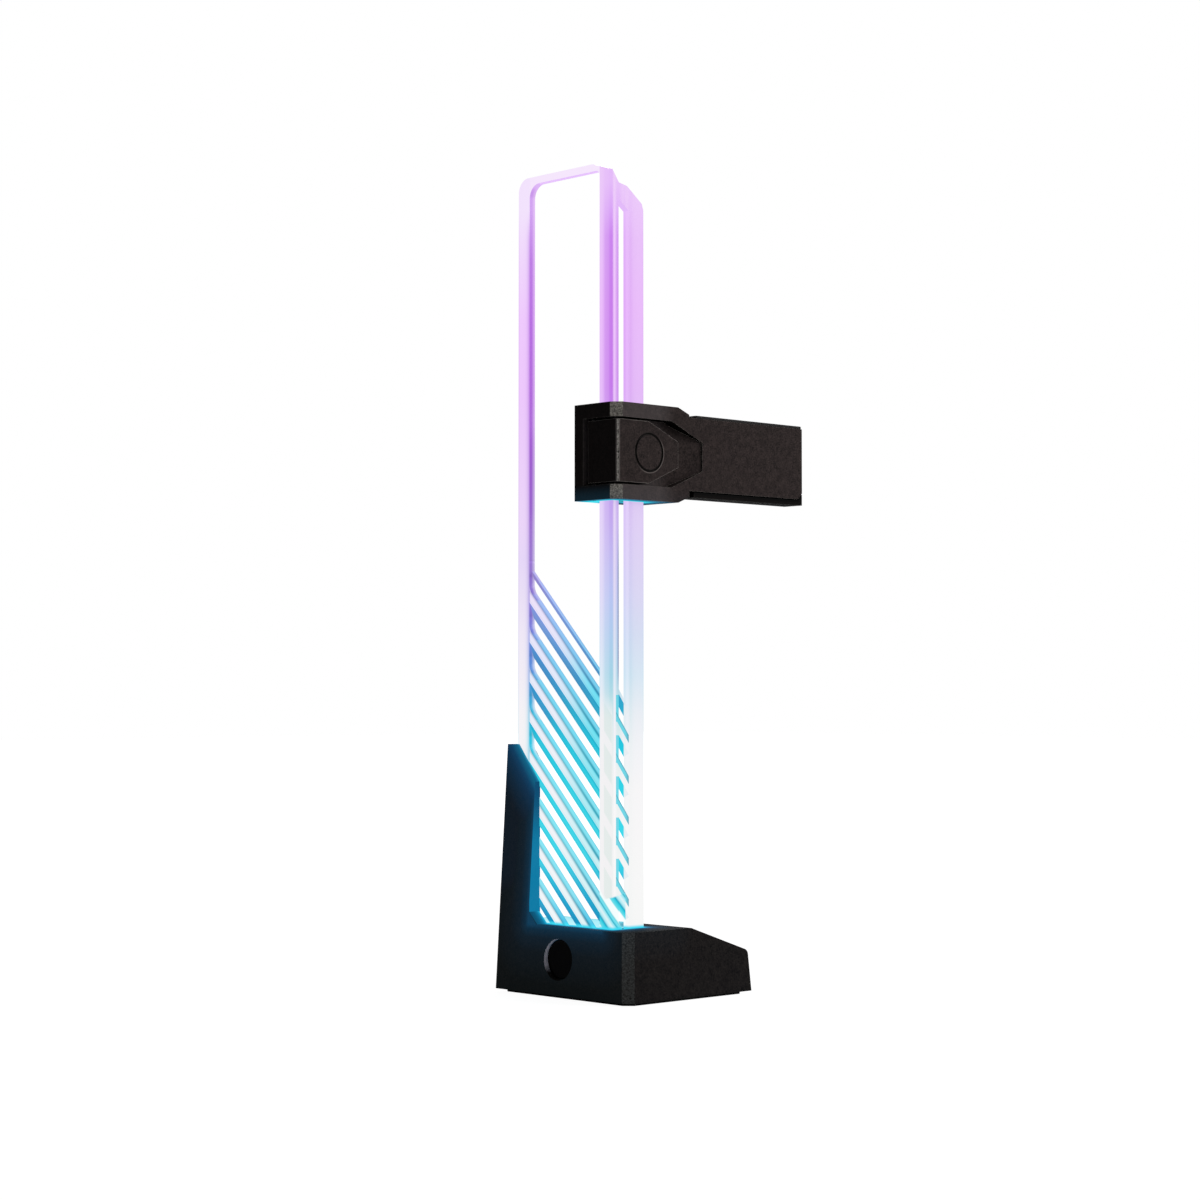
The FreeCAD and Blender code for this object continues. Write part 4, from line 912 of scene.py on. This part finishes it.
# %% Tower colours
HEIGHT_COLOURS = {
    "upright": [(17, "f8fafa"), (68, "f8f5f8"), (77, "f5f0f8"), (87, "f2ebf8"),
                (96, "ede3f8"), (106, "e9dafa"), (115, "eed8fb"), (146, "efcafe"),
                (165, "f1ccff"), (192, "f4e4fe")],
    "post_pale": [(17, "f9f9f8"), (50, "f8f6f8"), (68, "f2f1f8"), (77, "e4eefa"),
                  (87, "e2e6f9"), (96, "e6e0fa"), (115, "e8d8fb"), (146, "ebc2fd"),
                  (165, "efc2fe"), (192, "edcafb")],
    "post_deep": [(17, "f0f4f3"), (50, "ecf1f0"), (61, "dcedec"), (68, "c0e4e8"),
                  (77, "a4d6e8"), (87, "b0cef0"), (96, "bac6f4"), (106, "c2b8f2"),
                  (115, "c4a8f0"), (146, "c67aec"), (165, "c97eec"), (182, "cc85f0"),
                  (188, "daa4f8"), (195, "e6bcfb")],
    "inner": [(17, "1cc4e2"), (62, "26cbe8"), (68, "2bbde2"), (74, "48a2e2"),
              (79, "5b92e2"), (86, "6f88e4"), (92, "8d7ee2"), (106, "9870d2"),
              (120, "a066d6"), (146, "aa56da"), (165, "b05ce0"), (180, "b870e4"),
              (192, "cf9cf2")],
    "rib_face": [(17, "f4fafc"), (45, "f5f5f9"), (60, "f0f2f9"), (80, "e6eafc"),
                 (100, "f0e2fb"), (165, "f2dcfd"), (192, "f7e8fe")],
    "rib_front": [(17, "e2f5f8"), (36, "c6f1f6"), (50, "92e9f4"), (64, "6ee2f2"),
                  (77, "74e0f6"), (86, "98daf8"), (98, "cadffa"), (110, "eed8fb"),
                  (165, "f2dcfd"), (192, "f7e8fe")],
    "rib_top": [(17, "3cc0e6"), (24, "86dff0"), (45, "82e2f0"), (62, "76daf0"),
                (72, "74d2ee"), (82, "80c8f0"), (92, "98bdf2"), (101, "aab6f4")],
    "rib_under": [(17, "0a86ba"), (24, "12a8d2"), (34, "3cdaec"), (48, "30d6e8"),
                  (60, "1cc8e0"), (68, "24aed0"), (76, "3d92c4"), (86, "6a9cd8"),
                  (95, "8498dc"), (103, "9a86d2"), (120, "a678d8"), (165, "d8a8f4"),
                  (188, "e4bcfa"), (197, "dcb4f4")],
    "teal": [(17, "0a93b8"), (40, "10b2ca"), (60, "0ca6c2"), (70, "1498bc"),
             (80, "3a86c4"), (92, "7a86d2"), (104, "a084d8")],
    "shaded_under": [(60, "1498c4"), (70, "2f98cc"), (80, "3f8cc8"), (88, "5f94d6")],
}
acrylic, tree, acrylic_shader = new_material("lit_acrylic")
place, facing = point_and_facing(tree)
x, y, z = split(place)
_, facing_y, facing_z = split(facing)
forward = negative(facing_y)
by_height = {name: length_ramp(z, tower_high.z, stops)
             for name, stops in HEIGHT_COLOURS.items()}
print("runs of colour up the tower:", len(by_height))

# %% [markdown]
# ## The tower: stripes across its corner
#
# Across the corner the light makes upright stripes: a pale edge, a stronger
# band, a fine dark line on the corner itself, a bright line, and again a dark
# edge at the slit. The corner is unrolled into one number, millimetres from the
# corner edge, positive along the side panel and negative along the front panel,
# and a ramp over that number says how much of the stronger colour shows. The
# upright at the rear of the side panel has weaker stripes, which fade near the
# top, and beside the slit there is a short dark line.

# %% Upright stripes
CORNER_SPAN = (-10.3, 4.6)
CORNER_STRIPES = [(-10.25, 0.5), (-10.0, 0.2), (-8.6, 0.16), (-7.2, 0.2),
                  (-6.6, 0.28), (-6.0, 0.42), (-5.6, 0.36), (-5.2, 0.2), (-4.7, 0.13),
                  (-4.3, 0.25), (-3.9, 0.42), (-3.5, 0.2), (-2.0, 0.8), (-1.5, 0.75),
                  (-1.15, 0.5), (-0.8, 0.02), (-0.45, 0.0), (-0.2, 0.55), (0.05, 1.0),
                  (0.4, 1.0), (0.7, 1.0), (1.0, 0.92), (1.4, 0.74), (2.4, 0.64),
                  (2.8, 0.5), (3.1, 0.3), (3.5, 0.15), (3.9, 0.05), (4.25, 0.05),
                  (4.4, 0.4), (4.5, 0.6)]
UPRIGHT_SPAN = (16.4, 20.6)
UPRIGHT_STRIPES = [(16.45, 0.75), (16.7, 0.5), (17.1, 0.28), (17.6, 0.12), (18.1, 0.04),
                   (20.0, 0.0), (20.3, 0.1), (20.5, 0.35)]
TOP_FADE = (184, 193)
SLIT_LINE_RISE, SLIT_LINE_FALL = (72, 80), (100, 116)
SLIT_IN = 2.0 * MM
SLIT_X = tower_low.x + SLIT_IN


def stripes(source, span, stops):
    """A grey ramp over a range of millimetres."""
    low, high = (value * MM for value in span)
    return length_ramp(minus(source, low), high - low,
                       [(stop - span[0], value) for stop, value in stops])


def near_slit(low, high):
    """1 between two places, in millimetres from the slit's left side."""
    return within(x, SLIT_X + low * MM, SLIT_X + high * MM)


along_side = minus(y, tower_low.y)
along_front = minus(x, tower_low.x)
unrolled = minus(along_side, along_front)
corner = blend(stripes(unrolled, CORNER_SPAN, CORNER_STRIPES),
               by_height["post_pale"], by_height["post_deep"])
below_top = opposite(ease_mm(z, *TOP_FADE))
upright = blend(times(below_top, stripes(y, UPRIGHT_SPAN, UPRIGHT_STRIPES)),
                by_height["upright"], by_height["inner"])
slit_line = times(near_slit(-0.35, 0.05), plateau(z, SLIT_LINE_RISE, SLIT_LINE_FALL))
print("corner stripes:", len(CORNER_STRIPES), "upright stripes:", len(UPRIGHT_STRIPES))

# %% [markdown]
# ## The tower: pale blocks on its low corner
#
# Low down the corner is almost white, and the slots behind it show through as
# a row of faintly green blocks, one for each slot. A pattern that repeats up
# the tower is made with a modulo: it says how far into its step a height is.

# %% Pale blocks
SLOT_PITCH = 9.73 * MM
BLOCK_FALL = 1.17
BLOCK_START = 67.6 * MM
BLOCK_RISE, BLOCK_END = (2.4, 3.1), (9.2, 9.7)
BLOCK_SIDES = (0.3, 3.0)
LOW_CORNER_FADE, LOW_CORNER_SHARE = (66, 74), 0.8
SLIT_LINE_SHARE = 0.9


def repeating(source, pitch):
    """How far into its step of a repeating pattern a length is."""
    return calc("FLOORED_MODULO", source, pitch)


in_step = repeating(minus(minus(z, times(unrolled, BLOCK_FALL)), BLOCK_START), SLOT_PITCH)
blocks = times(within_mm(unrolled, *BLOCK_SIDES), plateau(in_step, BLOCK_RISE, BLOCK_END))
low_corner = times(opposite(ease_mm(z, *LOW_CORNER_FADE)), ease_mm(unrolled, -0.1, 0.2))
corner = blend(times(low_corner, LOW_CORNER_SHARE), corner,
               blend(blocks, tone("f5f3f5"), tone("e4ecea")))
corner = blend(times(slit_line, SLIT_LINE_SHARE), corner, tone("6c80b4"))
print("one block each", round(SLOT_PITCH / MM, 2), "mm")

# %% [markdown]
# ## The tower: ribs between the slots
#
# The side panel's slots slope, so the ribs between them do too. A line along a
# slot is followed back to the rear rail, and the height where it meets the rail
# says where a point is across its rib. Each rib is cyan near the front and
# pale at the rear, with a fine teal line along each edge, stronger near the
# corner.

# %% Ribs
SLOT_RISE = math.tan(math.radians(45.8))
RIB_TOP_EDGE = 98.1 * MM
RAIL_REAR_Y = 16.45 * MM
SLOTS_END = 106 * MM
PANEL_SLOTS = (4.5, 29.6)
CORNER_FADE = (4.5, 18)
FRONT_FADE = (-8, 9)
TEAL_SHARES = (0.3, 0.95)
RIB_TEAL = [(0.0, 0.95), (0.35, 0.85), (0.7, 0.2), (1.1, 0.0), (2.2, 0.0), (2.7, 0.2),
            (3.1, 0.5), (3.4, 0.95), (3.9, 1.0)]


def height_at_rail(from_rail):
    """Where a line along the slots through a point meets the rear rail."""
    return plus(z, times(from_rail, SLOT_RISE))


def across_one_rib(rail_height):
    return repeating(minus(RIB_TOP_EDGE, rail_height), SLOT_PITCH)


rail_height = height_at_rail(minus(RAIL_REAR_Y, y))
across_rib = across_one_rib(rail_height)
in_slots = times(within_mm(unrolled, *PANEL_SLOTS), below(rail_height, SLOTS_END))
near_corner = opposite(ease_mm(unrolled, *CORNER_FADE))
line_share = times(spread(near_corner, *TEAL_SHARES), in_slots)
rib = blend(opposite(ease_mm(y, *FRONT_FADE)), by_height["rib_face"],
            by_height["rib_front"])
rib = blend(times(line_share, length_ramp(across_rib, SLOT_PITCH, RIB_TEAL)), rib,
            by_height["teal"])
colour = blend(ease_mm(unrolled, 4.3, 4.6), corner, rib)
colour = blend(ease_mm(y, 16.0, 16.6), colour, upright)
print("slots rise", round(SLOT_RISE, 3), "for each mm to the rear")

# %% [markdown]
# ## The tower: glow round the louvre gaps
#
# The front panel's louvre gaps have a cyan strip beside and below each mouth,
# darker along the gap and towards its right end. The gaps fall to the right, at
# a slope of their own.

# %% Louvre strips
LOUVRE_FALL = math.tan(math.radians(53.0))
LOUVRE_TOP = 72.7 * MM
LOUVRE_MOUTH = 5.35 * MM
LOUVRE_ROWS = (22, 72.5)
LOUVRE_SHARE = 0.9
SQUARE_ON = 0.95

row = plus(z, times(along_front, LOUVRE_FALL))
in_row = repeating(minus(LOUVRE_TOP + LOUVRE_FALL * SLIT_IN, row), SLOT_PITCH)
left_row = repeating(minus(LOUVRE_TOP, z), SLOT_PITCH)
beside_gap = times(near_slit(-0.9, 0.02), within(left_row, 0.0, LOUVRE_MOUTH + 1.2 * MM))
below_gap = times(near_slit(-0.9, 3.3),
                  within(in_row, LOUVRE_MOUTH, LOUVRE_MOUTH + 1.9 * MM))
louvre_glow = times(larger(beside_gap, below_gap),
                    times(within_mm(z, *LOUVRE_ROWS), above(forward, SQUARE_ON)))
dark_rim = larger(opposite(ease_mm(minus(in_row, LOUVRE_MOUTH), 0.1, 0.7)),
                  ease(x, SLIT_X + 2.0 * MM, SLIT_X + 3.4 * MM))
strip = blend(times(dark_rim, below_gap), tone("50d2e4"), tone("1a9cb4"))
colour = blend(times(louvre_glow, LOUVRE_SHARE), colour, strip)
print("louvre gaps fall", round(LOUVRE_FALL, 3), "for each mm to the right")

# %% [markdown]
# ## The tower: cut faces
#
# The faces cut by the slots show the light inside the panel. Those that look up
# are pale cyan and those that look down deep cyan, each with a teal line along
# its outer edge. Halfway up, the undersides near the rear are bluer, and behind
# the slit they are nearly white. The window's rear wall, which looks forward,
# has the inner colour at its outer edge and is pale further in.

# %% Cut faces
TOP_TEAL = [(0.0, 0.95), (0.25, 0.7), (0.55, 0.1), (1.3, 0.0), (1.6, 0.3), (1.8, 0.4)]
UNDER_TEAL = [(0.0, 0.9), (0.3, 0.7), (0.7, 0.0), (1.8, 0.0)]
WALL_SHARE = [(0.0, 0.85), (0.3, 1.0), (0.8, 0.95), (1.2, 0.6), (1.8, 0.3)]
FACING_UP, LOOKING_DOWN = (0.3, 0.55), (0.2, 0.3)
SHADED_REAR, SHADED_RISE, SHADED_FALL = (3, 12), (62, 70), (82, 88)
SLIT_DEPTH_SLOPE = 0.95
LOUVRES_BELOW = 100 * MM
WALL_START = 14 * MM

upward = ease(facing_z, *FACING_UP)
top_face = blend(times(line_share, length_ramp(along_front, PANEL, TOP_TEAL)),
                 by_height["rib_top"], by_height["teal"])
colour = blend(upward, colour, top_face)

shaded = times(ease_mm(y, *SHADED_REAR), plateau(z, SHADED_RISE, SHADED_FALL))
under = blend(shaded, by_height["rib_under"], by_height["shaded_under"])
under = blend(times(line_share, length_ramp(along_front, PANEL, UNDER_TEAL)), under,
              by_height["teal"])
past_slit = minus(minus(x, SLIT_X), times(along_side, SLIT_DEPTH_SLOPE))
behind_slit = times(ease_mm(past_slit, 1.5, 1.8), below(z, LOUVRES_BELOW))
under = blend(behind_slit, under, tone("e8eef2"))
colour = blend(ease(negative(facing_z), *LOOKING_DOWN), colour, under)

rear_wall = times(ease(forward, *MOSTLY), above(y, WALL_START))
wall = blend(length_ramp(along_front, PANEL, WALL_SHARE), by_height["post_pale"],
             by_height["inner"])
colour = blend(rear_wall, colour, wall)
print("panel is", round(PANEL / MM, 1), "mm thick")

# %% [markdown]
# ## The tower: foot
#
# At the foot the slots' pattern runs on across the corner as cyan and white
# stripes. The pale corner above them ends in a tip, so their upper edge rises on
# both sides of it. The last millimetre above the base glows cyan. The tip is
# given as its distance from the corner and its height.

# %% Foot stripes
FOOT_LINES = [(0.0, "17a6c0"), (0.4, "8fe6f2"), (1.5, "e2f5f8"), (2.6, "b0ecf4"),
              (3.3, "12a4c4"), (3.9, "2fd0e4"), (5.2, "6fe0ea"), (5.6, "f8ffff"),
              (7.9, "f4ffff"), (8.4, "6fd8e2"), (9.0, "7ae6f6"), (9.73, "2fb8cc")]
TIP = (2.8 * MM, 24.4 * MM)
TIP_RISES = (1.5, -0.2)
FOOT_SIDES = (-4.2, 4.5)

from_rail = minus(RAIL_REAR_Y - tower_low.y, unrolled)
foot_lines = length_ramp(across_one_rib(height_at_rail(from_rail)), SLOT_PITCH, FOOT_LINES)
past_tip = minus(unrolled, TIP[0])
edge_rise = larger(times(past_tip, TIP_RISES[0]), times(past_tip, TIP_RISES[1]))
under_edge = minus(plus(edge_rise, TIP[1]), z)
crossing = times(within_mm(unrolled, *FOOT_SIDES), ease_mm(under_edge, 0.0, 0.5))
colour = blend(crossing, colour, foot_lines)
foot_glow = opposite(ease(z, BASE_TOP + 0.1 * MM, BASE_TOP + 0.9 * MM))
colour = blend(foot_glow, colour, tone("3fdcf4"))
print("foot stripes:", len(FOOT_LINES))

# %% [markdown]
# ## The tower: fine lines and the shader
#
# Last, fine lines along each rib darken or lighten what is there. A ramp can't
# hold more than 1, so each factor is kept as a share of a headroom, and the
# product is scaled up by it afterwards. Faces that look forward meet the key
# lamp, so their own light is dimmed a little. The tower shines by itself, with
# a weak body colour, a soft gloss and a little real transparency.

# %% Fine lines and shader
HEADROOM = 1.2
# Painted highlight and painted shade: bright and dark lines along the ribs' edges.
RIB_LINES = [(0.0, 0.80), (0.25, 0.86), (0.5, 1.0), (2.0, 1.0), (2.4, 0.9), (2.62, 1.1),
             (2.85, 1.1), (3.1, 1.0), (5.0, 0.94), (6.2, 0.82), (6.8, 0.98), (9.7, 1.0)]
TOP_LINES = [(0.0, 0.78), (0.35, 0.86), (0.8, 1.02), (1.4, 1.04), (1.8, 0.9)]
DIM_LOW, DIM_MORE, DIM_RISE = 0.03, 0.07, (55, 95)
FACING_KEY = (0.6, 0.95)
BODY_SHARE = 0.06


def factor_lines(source, reach, stops):
    """Factors along a length, as shares of the headroom."""
    return length_ramp(source, reach, [(stop, value / HEADROOM) for stop, value in stops])


lines = blend(upward, factor_lines(across_rib, SLOT_PITCH, RIB_LINES),
              factor_lines(along_front, PANEL, TOP_LINES))
lines = blend(in_slots, grey(1 / HEADROOM), lines)
dimming = plus(times(ease_mm(z, *DIM_RISE), DIM_MORE), DIM_LOW)
lines = blend(times(ease(forward, *FACING_KEY), dimming), lines, BLACK)
colour = scaled(blend(1.0, colour, lines, blend_type="MULTIPLY"), HEADROOM)

fill(acrylic_shader, {"Base Color": scaled(colour, BODY_SHARE), "Emission Color": colour,
                      "Emission Strength": 0.95, "Roughness": 0.25, "IOR": 1.49,
                      "Specular IOR Level": 0.04, "Transmission Weight": 0.05})
dress(tower, acrylic)
print("tower faces", len(tower.data.polygons), "nodes", len(tree.nodes))
